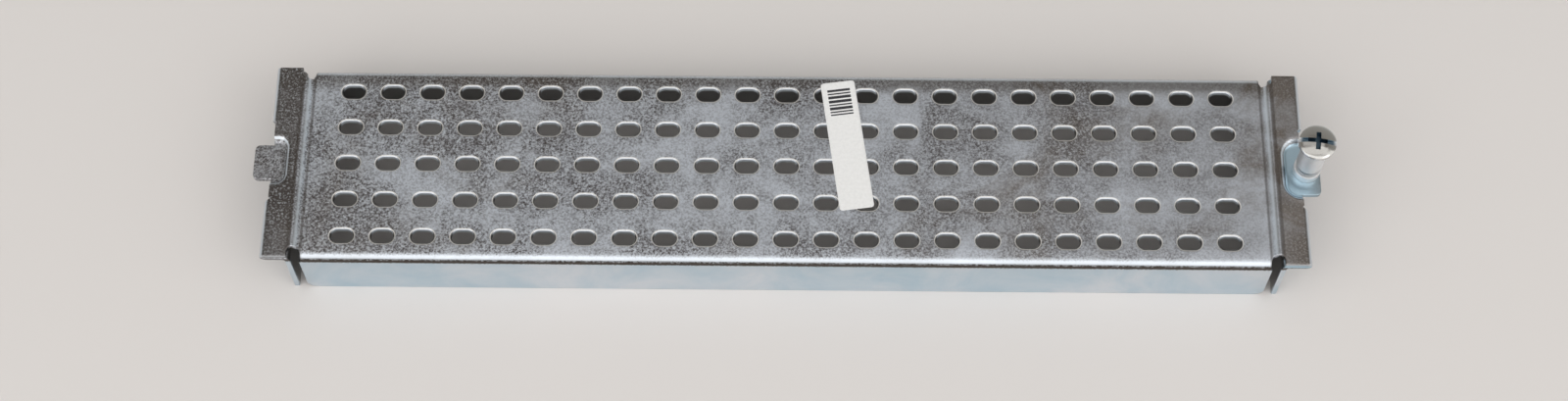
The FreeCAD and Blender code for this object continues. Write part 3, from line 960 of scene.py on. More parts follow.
class SheetMasks:
    """Where the sheet's finish differs, painted highlights and painted shade among it: masks from 0 to 1 by
    the place on the sheet.
    """

    RAGGED = 0.25 * MM             # unevenness of the painted bend highlight and the painted shade lines
    FLANGE_FADE = 0.8 * MM         # flange into face, up the long bend
    FACE_FADE = 0.3 * MM           # face into joggle
    EAR_FADE = 0.2 * MM            # joggle into ear, on each side of the joggle's top
    POCKET_START = 0.35 * MM       # height over the face where a pocket's floor starts to show
    POCKET_FULL = 0.1 * MM         # height over the face where it shows fully
    SLOTS_FADE = 0.1 * MM          # end of the slotted stretch
    ROLL_FADE = 0.15 * MM          # foot of a slot's rolled edge
    OUTLINE_SOFT = 0.08 * MM       # softness of a slot's outline
    SHEAR_START = 0.08 * MM        # distance from a slot's edge where the painted highlight on its sheared wall starts
    SHEAR_FULL = 0.03 * MM         # distance where it shows fully
    SLOPE_SHARE = 0.45             # painted highlight line on the joggle, as a share of its run
    SLOPE_HALF = 0.12 * MM         # half the width of that line
    SLOPE_SOFT = 0.3 * MM          # softness of that line
    HEM_START = 0.25 * MM          # distance past the hem's centre where the painted highlight on its turn starts
    HEM_FULL = 0.6 * MM            # distance where it is brightest
    HEM_FADE = 0.1 * MM            # foot of that painted highlight
    PRESSED_LOW = 0.5 * MM         # painted highlight on a pocket's sides, below the ear's top
    PRESSED_HIGH = 0.2 * MM
    PRESSED_SOFT = 0.12 * MM
    FAR_START = 0.1 * MM           # distance past the far bend's start where its painted highlight starts
    FAR_FULL = 0.5 * MM
    NEAR_START = 0.3 * MM          # distance before the near bend's start where its painted highlight starts
    NEAR_FULL = 0.6 * MM           # distance past the near bend's start where it is brightest
    SIDE_START = 0.55 * MM         # outside of the flanges, in from the sheet's side
    SIDE_FULL = 0.3 * MM
    BEND_CREASE_LIFT = 0.15 * MM   # painted shade line under the long bend, over the flange's top
    BEND_CREASE = 0.6 * MM         # width of that line
    BEND_CREASE_SOFT = 0.3 * MM
    LOW_CREASE_SHIFT = -0.3 * MM   # painted shade line before the joggle, from its foot
    LOW_CREASE = 0.25 * MM         # width of that line
    HIGH_CREASE_SHIFT = 0.2 * MM   # painted shade line behind the joggle, from its top
    HIGH_CREASE = 0.55 * MM        # width of that line
    CREASE_SOFT = 0.25 * MM

    def __init__(self, finish, form):
        self.finish, self.form = finish, form
        self.place = finish.place()
        parts = finish.add("SeparateXYZ", {"Vector": self.place})
        self.x, self.y, self.height = (parts.outputs[axis] for axis in "XYZ")
        self.along = finish.calculate("ABSOLUTE", self.x)
        self.beside = finish.calculate("ABSOLUTE", self.y)
        self.grain = finish.noise(self.place, GRAIN_SCALE, detail=3.0, roughness=0.7)
        self.ragged = finish.remap(self.grain, 0.3, 0.7, -self.RAGGED, self.RAGGED)
        top = self.joggle_end = form.flange_end + form.joggle_run
        self.front = finish.remap(self.height, form.flange_top, form.flange_top + self.FLANGE_FADE)
        self.face = finish.remap(self.along, form.flange_end, form.flange_end + self.FACE_FADE, 1.0, 0.0)
        self.ear = finish.remap(self.along, top - self.EAR_FADE, top + self.EAR_FADE)
        pressed = finish.remap(self.height, FACE_TOP + self.POCKET_START, FACE_TOP + self.POCKET_FULL)
        self.tongue = finish.product(pressed, self.ear)
        self.ear_top = finish.difference(self.ear, self.tongue)

    def past_slot(self):
        """Distance from the nearest slot's edge, outwards."""
        finish, sheet = self.finish, self.form.sheet
        offsets = []
        for place, count in ((self.x, sheet.slot_columns), (self.y, sheet.slot_rows)):
            shifted = finish.sum(place, (count - 1) * sheet.slot_pitch / 2)
            offsets.append(finish.calculate("PINGPONG", shifted, sheet.slot_pitch / 2))
        spine = (sheet.slot_length - sheet.slot_width) / 2
        past = finish.largest(finish.difference(offsets[0], spine), 0.0)
        way = finish.add("CombineXYZ", {"X": past, "Y": offsets[1]}).outputs["Vector"]
        reach = finish.add("VectorMath", {0: way}, operation="LENGTH").outputs["Value"]
        return finish.difference(reach, sheet.slot_width / 2)

    def slot_edges(self):
        """Every slot's burnished outline, a painted highlight on its roll's far side, painted shade on the
        rest of its roll and a painted highlight on its sheared far wall.
        """
        finish, roll = self.finish, self.form.sheet.slot_roll
        past = self.past_slot()
        slots_end, roll_foot = self.form.cells_end, FACE_TOP - roll
        slotted = finish.remap(self.along, slots_end - self.SLOTS_FADE, slots_end, 1.0, 0.0)
        above = finish.remap(self.height, roll_foot - self.ROLL_FADE, roll_foot)
        # the side that faces the front lamps gets the painted highlight, the other sides get painted shade
        facing = finish.add("SeparateXYZ", {"Vector": finish.add("NewGeometry").outputs["Normal"]})
        far = finish.remap(facing.outputs["Y"], -0.25, -0.6)
        inner = finish.product(finish.remap(past, 0.75 * roll, 0.55 * roll), slotted)
        # burnished outline, brightened into a painted highlight
        outline = finish.product(
            finish.band(past, 0.8 * roll, 1.15 * roll, self.OUTLINE_SOFT), slotted, above
        )
        # painted highlight on the roll's far side; painted shade on its other sides
        bright = finish.product(inner, far, above, 0.85)
        shaded_roll = finish.product(inner, finish.reverse(far))
        # painted highlight on the sheared far wall
        sheared = finish.remap(past, self.SHEAR_START, self.SHEAR_FULL)
        return outline, bright, shaded_roll, finish.product(sheared, far, slotted)

    def turned_edges(self):
        """Painted highlights on the slope of the joggle, the hem's outer turn and the pocket's sides."""
        finish, form = self.finish, self.form
        middle = form.flange_end + self.SLOPE_SHARE * form.joggle_run
        slope = finish.band(
            self.along, middle - self.SLOPE_HALF, middle + self.SLOPE_HALF, self.SLOPE_SOFT
        )
        hem = finish.product(
            finish.remap(self.along, form.hem_centre + self.HEM_START, form.hem_centre + self.HEM_FULL),
            finish.remap(self.height, FACE_TOP, FACE_TOP + self.HEM_FADE),
        )
        pressed = finish.band(
            self.height, SHEET_HIGH.z - self.PRESSED_LOW, SHEET_HIGH.z - self.PRESSED_HIGH,
            self.PRESSED_SOFT,
        )
        turns = finish.largest(hem, finish.product(pressed, self.ear))
        return finish.largest(finish.product(slope, self.front, 0.62), finish.product(turns, 0.85))

    def long_bends(self):
        """Painted highlight on the tight turn of the two long bends, brighter at the front."""
        finish, start = self.finish, self.form.bend_start
        far = finish.remap(self.y, start + self.FAR_START, start + self.FAR_FULL, 0.0, 0.6)
        across = finish.sum(self.y, self.ragged)
        near = finish.remap(across, -start + self.NEAR_START, -start - self.NEAR_FULL, 0.0, 0.75)
        return finish.product(finish.sum(far, near), self.face)

    def rear(self):
        """Painted shade inside the tray."""
        finish, half = self.finish, self.form.half
        wall = self.form.flange_end + self.form.ear.wall_gap
        return finish.product(
            finish.remap(self.height, FACE_TOP - half, FACE_TOP - 1.4 * half),
            finish.remap(self.beside, SHEET_HIGH.y - half, SHEET_HIGH.y - 1.4 * half),
            finish.remap(self.along, wall + 1.2 * half, wall + 0.4 * half),
        )

    def creases(self):
        """Painted shade: dark lines under the long bends' tight turn and along both sides of the joggle."""
        finish, form = self.finish, self.form
        low = form.flange_top + self.BEND_CREASE_LIFT
        height = finish.sum(self.height, self.ragged)
        lines = finish.product(
            finish.band(height, low, low + self.BEND_CREASE, self.BEND_CREASE_SOFT),
            finish.remap(self.beside, SHEET_HIGH.y - self.SIDE_START, SHEET_HIGH.y - self.SIDE_FULL),
        )
        for middle, width in (
            (form.flange_end + self.LOW_CREASE_SHIFT, self.LOW_CREASE),
            (self.joggle_end + self.HIGH_CREASE_SHIFT, self.HIGH_CREASE),
        ):
            line = finish.band(self.along, middle - width / 2, middle + width / 2, self.CREASE_SOFT)
            lines = finish.largest(lines, finish.product(line, self.front, 0.6))
        return lines


def stain_and_dark_reflection_mask(masks, clouds):
    """Brown stains here and there, more towards the screw and on the ears, and a painted dark reflection
    along the face's edge before the far bend.
    """
    finish = masks.finish
    patches = finish.noise(masks.place, STAIN_SCALE, detail=5.0, roughness=0.65, distortion=0.9)
    more_from, more_to = 10 * MM, 95 * MM
    strip_end = masks.form.bend_start - 1.0 * MM
    strip_start = strip_end - 2.5 * MM
    stains_and_dark_reflection = finish.sum(
        finish.remap(patches, 0.54, 0.78),
        finish.remap(masks.x, more_from, more_to, 0.0, 0.10),
        # painted dark reflection where the face curves towards the far bend
        finish.remap(masks.y, strip_start, strip_end, 0.0, 0.55),
        finish.product(masks.ear_top, finish.remap(clouds, 0.0, 1.0, 0.6, 1.0)),
        finish.product(masks.tongue, 0.4),
    )
    return finish.smallest(stains_and_dark_reflection, 1.0)


def crystal_density(masks, clouds, stains_and_dark_reflection, clean_and_highlight):
    """How close the crystals lie: close in cloudy and stained patches, thinning out towards the screw."""
    finish = masks.finish
    thinning_end = 95 * MM
    density = finish.product(
        finish.sum(finish.remap(clouds, 0.1, 0.9, 0.3, 1.0), finish.product(stains_and_dark_reflection, 0.25)),
        finish.remap(masks.x, -thinning_end, thinning_end, 1.6, 0.5),
        finish.remap(masks.ear, 0.0, 1.0, 1.0, 0.8),
    )
    return finish.product(finish.smallest(density, 1.0), finish.remap(clean_and_highlight, 0.0, 0.8, 1.0, 0.0))


def zinc_sheet_finish(colours, form):
    """Plated sheet: cloudy patches, brown stains and a crystal grain, with painted highlights on rims,
    bends and turns and painted shade in rolls, creases and inside the tray.
    """
    finish = Finish("zinc_sheet", Metallic=1.0)
    masks = SheetMasks(finish, form)
    # painted highlights on the slots' far rolls and far walls, painted shade on their other rolls
    outline, rim, shaded_roll, wall = masks.slot_edges()
    patches = finish.noise(masks.place, CLOUD_SCALE, detail=5.0, roughness=0.62, distortion=0.5)
    clouds = finish.remap(patches, 0.38, 0.66)
    stains_and_dark_reflection = stain_and_dark_reflection_mask(masks, clouds)

    # Stretches with a look of their own: a painted blue reflection on the screw tab, fading towards its
    # tip, and the hook's ear darker in patches
    tab = finish.product(
        masks.tongue,
        finish.remap(masks.x, 0.0, MM),
        finish.remap(masks.x, SCREW_SEAT.x, SHEET_HIGH.x, 0.9, 0.5),
    )
    left_ear = finish.product(
        masks.ear_top,
        finish.remap(masks.x, 0.0, -MM),
        finish.remap(clouds, 0.1, 0.9, 0.5, 1.0),
    )
    flange = finish.reverse(masks.front)
    # plain plating on the flanges, and painted highlights on the slots' far rolls, the turned edges and the
    # long bends
    clean_and_highlight = finish.largest(rim, masks.turned_edges(), masks.long_bends(), flange)

    # Dark and bright crystals, none on the flanges, the screw tab or the painted highlights
    density = crystal_density(masks, clouds, stains_and_dark_reflection, finish.sum(clean_and_highlight, tab))
    dark = finish.product(finish.remap(masks.grain, 0.45, 0.62), density)
    bright = finish.product(
        finish.remap(masks.grain, 0.48, 0.33, 0.0, 0.9),
        density,
        finish.remap(masks.ear, 0.0, 1.0, 1.0, 0.75),
    )

    finish.set("Base Color", finish.coats(
        colours.zinc_light,
        (clouds, colours.zinc_dark),
        # brown stains, with a painted dark reflection near the far bend
        (stains_and_dark_reflection, colours.zinc_stain_and_dark_reflection),
        # the hook's ear, darker in patches
        (left_ear, colours.zinc_darkest_and_shade),
        # painted blue reflection on the screw tab
        (tab, colours.zinc_blue),
        # plain flanges and painted highlights
        (clean_and_highlight, colours.zinc_clean_and_highlight),
        (finish.product(flange, clouds, 0.7), colours.zinc_blue),
        (bright, colours.zinc_clean_and_highlight),
        (dark, colours.zinc_speck),
        # burnished slot outlines with a painted highlight
        (finish.product(outline, 0.85), colours.zinc_burnish_and_highlight),
        # painted shade on the slots' near and side rolls
        (finish.product(shaded_roll, 0.8), colours.zinc_darkest_and_shade),
        # painted shade inside the tray
        (masks.rear(), colours.zinc_rear_shade),
        # painted highlight on the slots' sheared far walls
        (finish.product(wall, 0.8), colours.zinc_clean_and_highlight),
        # painted shade along the creases
        (masks.creases(), colours.zinc_darkest_and_shade),
    ))
    rough = finish.remap(dark, 0.0, 0.9, 0.29, 0.42)
    finish.set("Roughness", finish.sum(rough, finish.product(wall, 0.35)))
    waves = finish.noise(masks.place, WAVE_SCALE, detail=2.0)
    relief = finish.difference(finish.remap(waves, 0.0, 1.0, 0.0, 14.0), dark)
    finish.bump(relief, distance=0.006 * MM)
    return finish.material


def drive_shade_mask(finish, place, sizes):
    """Where shade is painted in the screw's drive: its floors and lower walls, by their depth below the
    domed head.
    """
    spare = 0.1 * MM
    from_head = finish.add("VectorMath", {0: place, 1: (-SCREW_SEAT.x, -SCREW_SEAT.y, -SCREW_HIGH.z)})
    height = finish.add("SeparateXYZ", {"Vector": from_head.outputs["Vector"]}).outputs["Z"]
    flat = finish.add("VectorMath", {0: from_head.outputs["Vector"], 1: (1, 1, 0)}, operation="MULTIPLY")
    reach = finish.add("VectorMath", {0: flat.outputs["Vector"]}, operation="LENGTH").outputs["Value"]
    fall = finish.product(reach, reach, sizes.head_dome / (sizes.head / 2) ** 2)
    depth = finish.difference(finish.product(height, -1.0), fall)
    in_cross = finish.calculate("LESS_THAN", reach, sizes.drive_cross_span / 2 + spare)
    in_slot = finish.calculate("GREATER_THAN", height, -sizes.drive_slot_depth - spare)
    return finish.product(
        finish.remap(depth, 0.08 * MM, 0.35 * MM),
        finish.calculate("LESS_THAN", reach, 0.97 * sizes.head / 2),
        finish.largest(in_cross, in_slot),
        finish.calculate("GREATER_THAN", height, -sizes.drive_cross_depth - spare),
    )


def plated_finish(colours, sizes):
    """Bright turned plating with a warm tinge and lathe marks; painted shade on the domed top, in the drive
    and on the neck.
    """
    finish = Finish("plated_steel", Metallic=1.0)
    place = finish.place()
    height = finish.add("SeparateXYZ", {"Vector": place}).outputs["Z"]
    tinge = finish.remap(finish.noise(place, TINGE_SCALE, detail=3.0), 0.45, 0.75)
    rim = SCREW_HIGH.z - sizes.head_dome
    # painted shade on the head's domed top
    dome = finish.remap(height, rim - 0.05 * MM, rim + 0.1 * MM)
    neck_low = FERRULE_HIGH.z + 0.1 * MM
    neck_high = FERRULE_HIGH.z + sizes.seat_gap + sizes.shoulder_height
    # painted shade on the neck under the barrel
    neck = finish.band(height, neck_low, neck_high, 0.05 * MM)
    # painted shade in the drive and on the neck
    dark = finish.largest(drive_shade_mask(finish, place, sizes), finish.product(neck, 0.85))
    finish.set("Base Color", finish.coats(
        colours.plating,
        (tinge, colours.plating_warm),
        (dome, colours.plating_dome_shade),
        (dark, colours.drive),
    ))
    # Marks drawn out level round the screw, on a head that shines more than the satin below it
    level = finish.add("Mapping", {"Vector": place, "Scale": (0.05, 0.05, 1.0)}).outputs["Vector"]
    marks = finish.noise(level, LATHE_SCALE, detail=2.0)
    head_foot = SCREW_HIGH.z - sizes.head_thickness
    satin = finish.remap(height, head_foot - 0.1 * MM, head_foot, 0.34, 0.0)
    finish.set("Roughness", finish.sum(finish.remap(marks, 0.3, 0.7, 0.10, 0.20), satin))
    finish.bump(marks, distance=0.002 * MM)
    return finish.material


def spring_finish(colours):
    """Dark spring steel with a faint oily mottle."""
    finish = Finish("spring_steel", Metallic=1.0)
    mottle = finish.noise(finish.place(), MOTTLE_SCALE, detail=3.0)
    lighter = tuple(1.35 * channel for channel in colours.spring)
    finish.set("Base Color", finish.coats(colours.spring, (mottle, lighter)))
    finish.set("Roughness", finish.remap(mottle, 0.3, 0.7, 0.28, 0.42))
    finish.bump(mottle, distance=0.003 * MM)
    return finish.material


def label_finish(colours, sizes):
    """White paper with faint fibres and a plain block of bars near its top."""
    finish = Finish("label_paper", Roughness=0.55)
    plan = finish.add("UVMap", uv_map="label_plan").outputs["UV"]
    parts = finish.add("SeparateXYZ", {"Vector": plan})
    across, along = parts.outputs["X"], parts.outputs["Y"]
    # A module is dark where its number times step has a fraction over gap, so the bars are uneven
    step, gap = 0.618, 0.40
    module = finish.calculate("FLOOR", finish.product(along, sizes.length / sizes.bar_module))
    uneven = finish.calculate("FRACT", finish.product(module, step))
    edge = sizes.bars_width / sizes.width / 2
    bars = finish.product(
        finish.calculate("GREATER_THAN", uneven, gap),
        finish.calculate("LESS_THAN", along, 1 - sizes.bars_from / sizes.length),
        finish.calculate("GREATER_THAN", along, 1 - sizes.bars_to / sizes.length),
        finish.calculate("LESS_THAN", across, 0.5 + edge),
        finish.calculate("GREATER_THAN", across, 0.5 - edge),
    )
    fibres = finish.noise(finish.place(), FIBRE_SCALE, detail=4.0, roughness=0.65)
    greyer = tuple(0.93 * channel for channel in colours.paper)
    finish.set("Base Color", finish.coats(
        colours.paper, (finish.remap(fibres, 0.35, 0.65), greyer), (bars, colours.ink)
    ))
    finish.bump(fibres, distance=0.004 * MM)
    return finish.material


def floor_finish(colours):
    """Pale matt floor."""
    finish = Finish("studio_floor", Base_Color=rgba(colours.floor), Roughness=0.9, Specular_IOR_Level=0.1)
    return finish.material


# Operators

class SLOTCOVER_OT_sheet(bpy.types.Operator):
    """Build the folded, perforated sheet"""

    bl_idname = "slotcover.sheet"
    bl_label = "Folded Sheet"

    def execute(self, context):
        scene = context.scene
        sizes = scene.cover_sheet
        form = PanelForm(sizes, scene.cover_ears)
        sheet = Sheet()
        for column in range(sizes.slot_columns):
            for row in range(sizes.slot_rows):
                draw_slot(sheet, form, column, row)
        ends = [PanelEnd(form, side) for side in (-1, 1)]
        for end in ends:
            end.draw(sheet)
        for across in (-1, 1):
            draw_flange(sheet, form, across, ends)
        mesh = sheet.thicken("folded_sheet", sizes.slot_roll, sizes.edge_round)
        finish = zinc_sheet_finish(scene.cover_finish, form)
        piece = new_piece("folded_sheet", mesh, "panel", "zinc_sheet", finish, "cover_panel")
        round_cut_edges(piece, sizes.slot_roll)
        even_shading(piece)
        return {"FINISHED"}


# Mesh of the turned pieces

SCREW_STEPS = 96               # mesh steps round the screw
FERRULE_STEPS = 72             # mesh steps round the ferrule
RING_STEPS = 56                # mesh steps round the split ring
THREAD_ROWS = 8                # mesh rows in one turn of the thread
THREAD_FADE = 0.6 * MM         # the thread runs out over this height below the groove
DOME_ROWS = 8                  # mesh rows over the domed head
EDGE_ANGLE = math.radians(38)  # turned edges sharper than this are rounded
SHARP_ANGLE = math.radians(30)  # the drive's edges sharper than this stay crisp


def lathe(outline, steps, shape=None):
    """Mesh turned about the Z axis from (radius, height) points; shape may change a radius."""
    mesh = bmesh.new()
    rings = []
    for radius, height in outline:
        if radius == 0:
            rings.append([mesh.verts.new((0, 0, height))])
            continue
        ring = []
        for i in range(steps):
            turn = 2 * math.pi * i / steps
            r = shape(radius, height, turn) if shape else radius
            ring.append(mesh.verts.new((r * math.cos(turn), r * math.sin(turn), height)))
        rings.append(ring)
    for low, high in zip(rings, rings[1:]):
        for i in range(steps):
            j = (i + 1) % steps
            corners = [low[i % len(low)], low[j % len(low)], high[j % len(high)], high[i % len(high)]]
            mesh.faces.new(list(dict.fromkeys(corners)))
    return mesh


def finish_lathe(mesh, name, centre):
    """Mesh data of a turned mesh, its faces looking outwards, moved to its axis."""
    bmesh.ops.recalc_face_normals(mesh, faces=mesh.faces)
    mesh.transform(Matrix.Translation(centre))
    data = bpy.data.meshes.new(name)
    mesh.to_mesh(data)
    mesh.free()
    return data


def round_turned_edges(piece, width):
    """Rounds the sharp edges of a turned piece."""
    bevel = piece.modifiers.new("turned_edges", "BEVEL")
    bevel.limit_method = "ANGLE"
    bevel.angle_limit = EDGE_ANGLE
    bevel.width = width
    bevel.segments = 2
    bevel.use_clamp_overlap = True


def cut_box(piece, frame_of_box, low, high):
    """Cuts a box between two corners, given in the box's own frame, out of a piece."""
    tools = bmesh.new()
    size = Vector(high) - Vector(low)
    middle = (Vector(high) + Vector(low)) / 2
    shape = Matrix.Translation(middle) @ Matrix.Diagonal((*size, 1))
    bmesh.ops.create_cube(tools, size=1.0, matrix=frame_of_box @ shape)
    data = bpy.data.meshes.new("cutter")
    tools.to_mesh(data)
    tools.free()
    tool = bpy.data.objects.new("cutter", data)
    bpy.context.scene.collection.objects.link(tool)
    cut = piece.modifiers.new("cut", "BOOLEAN")
    cut.operation = "DIFFERENCE"
    cut.solver = "EXACT"
    cut.object = tool
    graph = bpy.context.evaluated_depsgraph_get()
    result = bpy.data.meshes.new_from_object(piece.evaluated_get(graph))
    if len(result.polygons) == 0:
        raise RuntimeError(f"{piece.name}: the cut left nothing")
    piece.modifiers.clear()
    piece.data = result
    bpy.data.objects.remove(tool)
    bpy.data.meshes.remove(data)


class SLOTCOVER_OT_screw(bpy.types.Operator):
    """Build the turned captive screw with its thread and drive"""

    bl_idname = "slotcover.screw"
    bl_label = "Captive Screw"

    def head_top(self, sizes):
        """Height of the domed head's middle before the drive is cut."""
        seat = FERRULE_HIGH.z + sizes.seat_gap
        return seat + sizes.shoulder_height + sizes.barrel_height + sizes.head_thickness

    def outline(self, sizes):
        """(radius, height) points from the thread's end to the top of the domed head."""
        shank = sizes.shank / 2
        groove = shank - sizes.groove_depth
        groove_low, groove_high = RING_LOW.z - sizes.groove_room, RING_HIGH.z + sizes.groove_room
        seat = FERRULE_HIGH.z + sizes.seat_gap
        barrel_foot = seat + sizes.shoulder_height
        barrel_top = barrel_foot + sizes.barrel_height
        barrel, head = sizes.barrel / 2, sizes.head / 2
        thread_from = SCREW_LOW.z + sizes.thread_end
        rows = math.ceil((groove_low - thread_from) / (sizes.thread_pitch / THREAD_ROWS))
        points = [(0, SCREW_LOW.z), (shank - sizes.thread_end, SCREW_LOW.z)]
        points += [(shank, z) for z in span(thread_from, groove_low, rows)]
        points += [
            (groove, groove_low), (groove, groove_high), (shank, groove_high), (shank, seat),
            (sizes.shoulder / 2, seat), (sizes.shoulder / 2, barrel_foot),
            (barrel - sizes.barrel_chamfer, barrel_foot), (barrel, barrel_foot + sizes.barrel_chamfer),
            (barrel, barrel_top), (head, barrel_top),
        ]
        rim = self.head_top(sizes) - sizes.head_dome
        dome = (head ** 2 + sizes.head_dome ** 2) / (2 * sizes.head_dome)
        reach = math.asin(head / dome)
        for i in range(DOME_ROWS + 1):
            turn = reach * (1 - i / DOME_ROWS)
            radius = dome * math.sin(turn) if i < DOME_ROWS else 0
            points.append((radius, rim + sizes.head_dome - dome * (1 - math.cos(turn))))
        return points

    def execute(self, context):
        scene = context.scene
        sizes = scene.cover_screw
        groove_low = RING_LOW.z - sizes.groove_room

        def threaded(radius, height, turn):
            """Helical thread on the end below the ring's groove."""
            if height > groove_low or radius < sizes.shank / 2:
                return radius
            phase = (height / sizes.thread_pitch - turn / (2 * math.pi)) % 1.0
            crest = abs(2 * phase - 1)
            return radius - sizes.thread_depth * crest * smooth((groove_low - height) / THREAD_FADE)

        mesh = lathe(self.outline(sizes), SCREW_STEPS, threaded)
        data = finish_lathe(mesh, "turned_screw", Vector((SCREW_SEAT.x, SCREW_SEAT.y, 0)))
        finish = plated_finish(scene.cover_finish, sizes)
        piece = new_piece("turned_screw", data, "screw", "plated_steel", finish, "captive_screw")
        round_turned_edges(piece, sizes.edge_round)
        top = Matrix.Translation((SCREW_SEAT.x, SCREW_SEAT.y, self.head_top(sizes)))
        drive = top @ Matrix.Rotation(sizes.drive_turn, 4, "Z")
        half, reach, over = sizes.drive_width / 2, sizes.drive_cross_span / 2, sizes.head
        floor = -sizes.drive_cross_depth
        cut_box(piece, drive, (-over, -half, -sizes.drive_slot_depth), (over, half, over))
        cut_box(piece, drive, (-half, -reach, floor), (half, reach, over))
        cut_box(piece, drive, (-reach, -half, floor), (reach, half, over))
        piece.data.set_sharp_from_angle(angle=SHARP_ANGLE)
        even_shading(piece)
        return {"FINISHED"}


class SLOTCOVER_OT_ferrule(bpy.types.Operator):
    """Build the ferrule, with its collar on the tab and its swaged rim under it"""

    bl_idname = "slotcover.ferrule"
    bl_label = "Tab Ferrule"

    def execute(self, context):
        scene = context.scene
        sizes = scene.cover_screw
        bore = sizes.shank / 2 + sizes.ferrule_room
        body = scene.cover_ears.ferrule_hole / 2
        collar = FERRULE_HIGH.x - SCREW_SEAT.x
        tab_under = FACE_TOP - scene.cover_sheet.thickness
        outline = [
            (bore, FERRULE_LOW.z), (body, FERRULE_LOW.z), (sizes.ferrule_flare / 2, tab_under),
            (body, tab_under), (body, FACE_TOP), (collar, FACE_TOP), (collar, FERRULE_HIGH.z),
            (bore, FERRULE_HIGH.z), (bore, FERRULE_LOW.z),
        ]
        mesh = lathe(outline, FERRULE_STEPS)
        bmesh.ops.remove_doubles(mesh, verts=mesh.verts, dist=WELD)
        data = finish_lathe(mesh, "tab_ferrule", Vector((SCREW_SEAT.x, SCREW_SEAT.y, 0)))
        finish = plated_finish(scene.cover_finish, sizes)
        piece = new_piece("tab_ferrule", data, "panel", "plated_steel", finish, "screw_ferrule")
        round_turned_edges(piece, sizes.edge_round)
        even_shading(piece)
        return {"FINISHED"}


class SLOTCOVER_OT_ring(bpy.types.Operator):
    """Build the split ring in the screw's groove"""

    bl_idname = "slotcover.ring"
    bl_label = "Split Ring"

    def execute(self, context):
        scene = context.scene
        sizes = scene.cover_screw
        inner = sizes.shank / 2 - sizes.groove_depth + sizes.ring_room
        outer = (RING_HIGH.y - RING_LOW.y) / 2
        middle = (RING_LOW.z + RING_HIGH.z) / 2
        half = Vector((0, 0, (RING_HIGH.z - RING_LOW.z) / 2 - sizes.ring_clear))
        sheet = Sheet()
        rows = []
        for radius in span(inner, outer, 3):
            mouth = math.asin(sizes.ring_mouth / 2 / radius)
            row = []
            for turn in span(mouth, 2 * math.pi - mouth, RING_STEPS):
                x, y = radius * math.cos(turn), radius * math.sin(turn)
                row.append((Vector((SCREW_SEAT.x + x, SCREW_SEAT.y + y, middle)), half))
            rows.append(row)
        sheet.patch(rows)
        mesh = sheet.thicken("split_ring", sizes.edge_round, sizes.edge_round)
        finish = spring_finish(scene.cover_finish)
        piece = new_piece("split_ring", mesh, "screw_float", "spring_steel", finish, "retaining_ring")
        round_cut_edges(piece, sizes.edge_round, 2)
        even_shading(piece)
        return {"FINISHED"}


class SLOTCOVER_OT_label(bpy.types.Operator):
    """Build the paper label on the face"""

    bl_idname = "slotcover.label"
    bl_label = "Paper Label"

    def execute(self, context):
        scene = context.scene
        sizes = scene.cover_label
        centre = (LABEL_LOW + LABEL_HIGH) / 2
        turn = Matrix.Rotation(sizes.lean, 4, "Z")
        half = Vector((0, 0, (LABEL_HIGH.z - LABEL_LOW.z) / 2))
        end = sizes.length / 2
        quarter = [(v, 0.0) for v in span(0.0, end - sizes.corner, 20)]
        quarter += corner_rows(end, sizes.corner)[1:]
        along = [(-v, inset) for v, inset in reversed(quarter[1:])] + quarter
        sheet = Sheet()
        rows = []
        for v, inset in along:
            edge = sizes.width / 2 - inset
            rows.append([(centre + turn @ Vector((u, v, 0)), half) for u in span(-edge, edge, 10)])
        sheet.patch(rows)
        mesh = sheet.thicken("paper_label", sizes.edge_round, sizes.edge_round)
        plan = mesh.uv_layers.new(name="label_plan")
        back = turn.inverted()
        for loop in mesh.loops:
            local = back @ (mesh.vertices[loop.vertex_index].co - centre)
            plan.data[loop.index].uv = (local.x / sizes.width + 0.5, local.y / sizes.length + 0.5)
        finish = label_finish(scene.cover_finish, sizes)
        piece = new_piece("paper_label", mesh, "panel", "label_paper", finish, "label")
        round_cut_edges(piece, sizes.edge_round, 1)
        even_shading(piece)
        return {"FINISHED"}


# Floor, lamps and surroundings of the studio

FLOOR_HALF = 3.0               # half the floor's width, in metres
SENSOR_WIDTH = 36.0            # of the camera, in millimetres
LAMP_TARGET = Vector((0, 0, 0))  # every lamp looks at the frame's origin
LAMPS = (
    # Name, place and size in metres, power setting
    ("softbox", (0, -0.85, 0.85), (2.6, 1.4), "softbox_power"),
    ("top_strip", (0, -0.035, 1.28), (1.9, 0.47), "top_power"),
    ("side_fill", (-1.1, -0.5, 0.8), (1.1, 1.1), "fill_power"),
    ("side_fill", (1.1, -0.5, 0.8), (1.1, 1.1), "fill_power"),
    ("overhead", (0.08, 0.45, 1.22), (1.2, 0.5), "overhead_power"),
)
WALL_STOPS = (
    # Colours of the walls and the ceiling, by the height of the direction from level to straight up
    (0.0, (0.90, 0.92, 0.92)),
    (0.12, (0.70, 0.72, 0.72)),
    (0.35, (0.40, 0.395, 0.38)),
    (0.70, (0.32, 0.31, 0.29)),
    (0.88, (0.18, 0.165, 0.15)),
    (1.0, (0.15, 0.135, 0.12)),
)
ROOM_COLOUR = (0.06, 0.052, 0.046)   # dim room in front
ROOM_FROM, ROOM_FULL = -0.25, -0.60  # Y of the direction where that room starts and is full


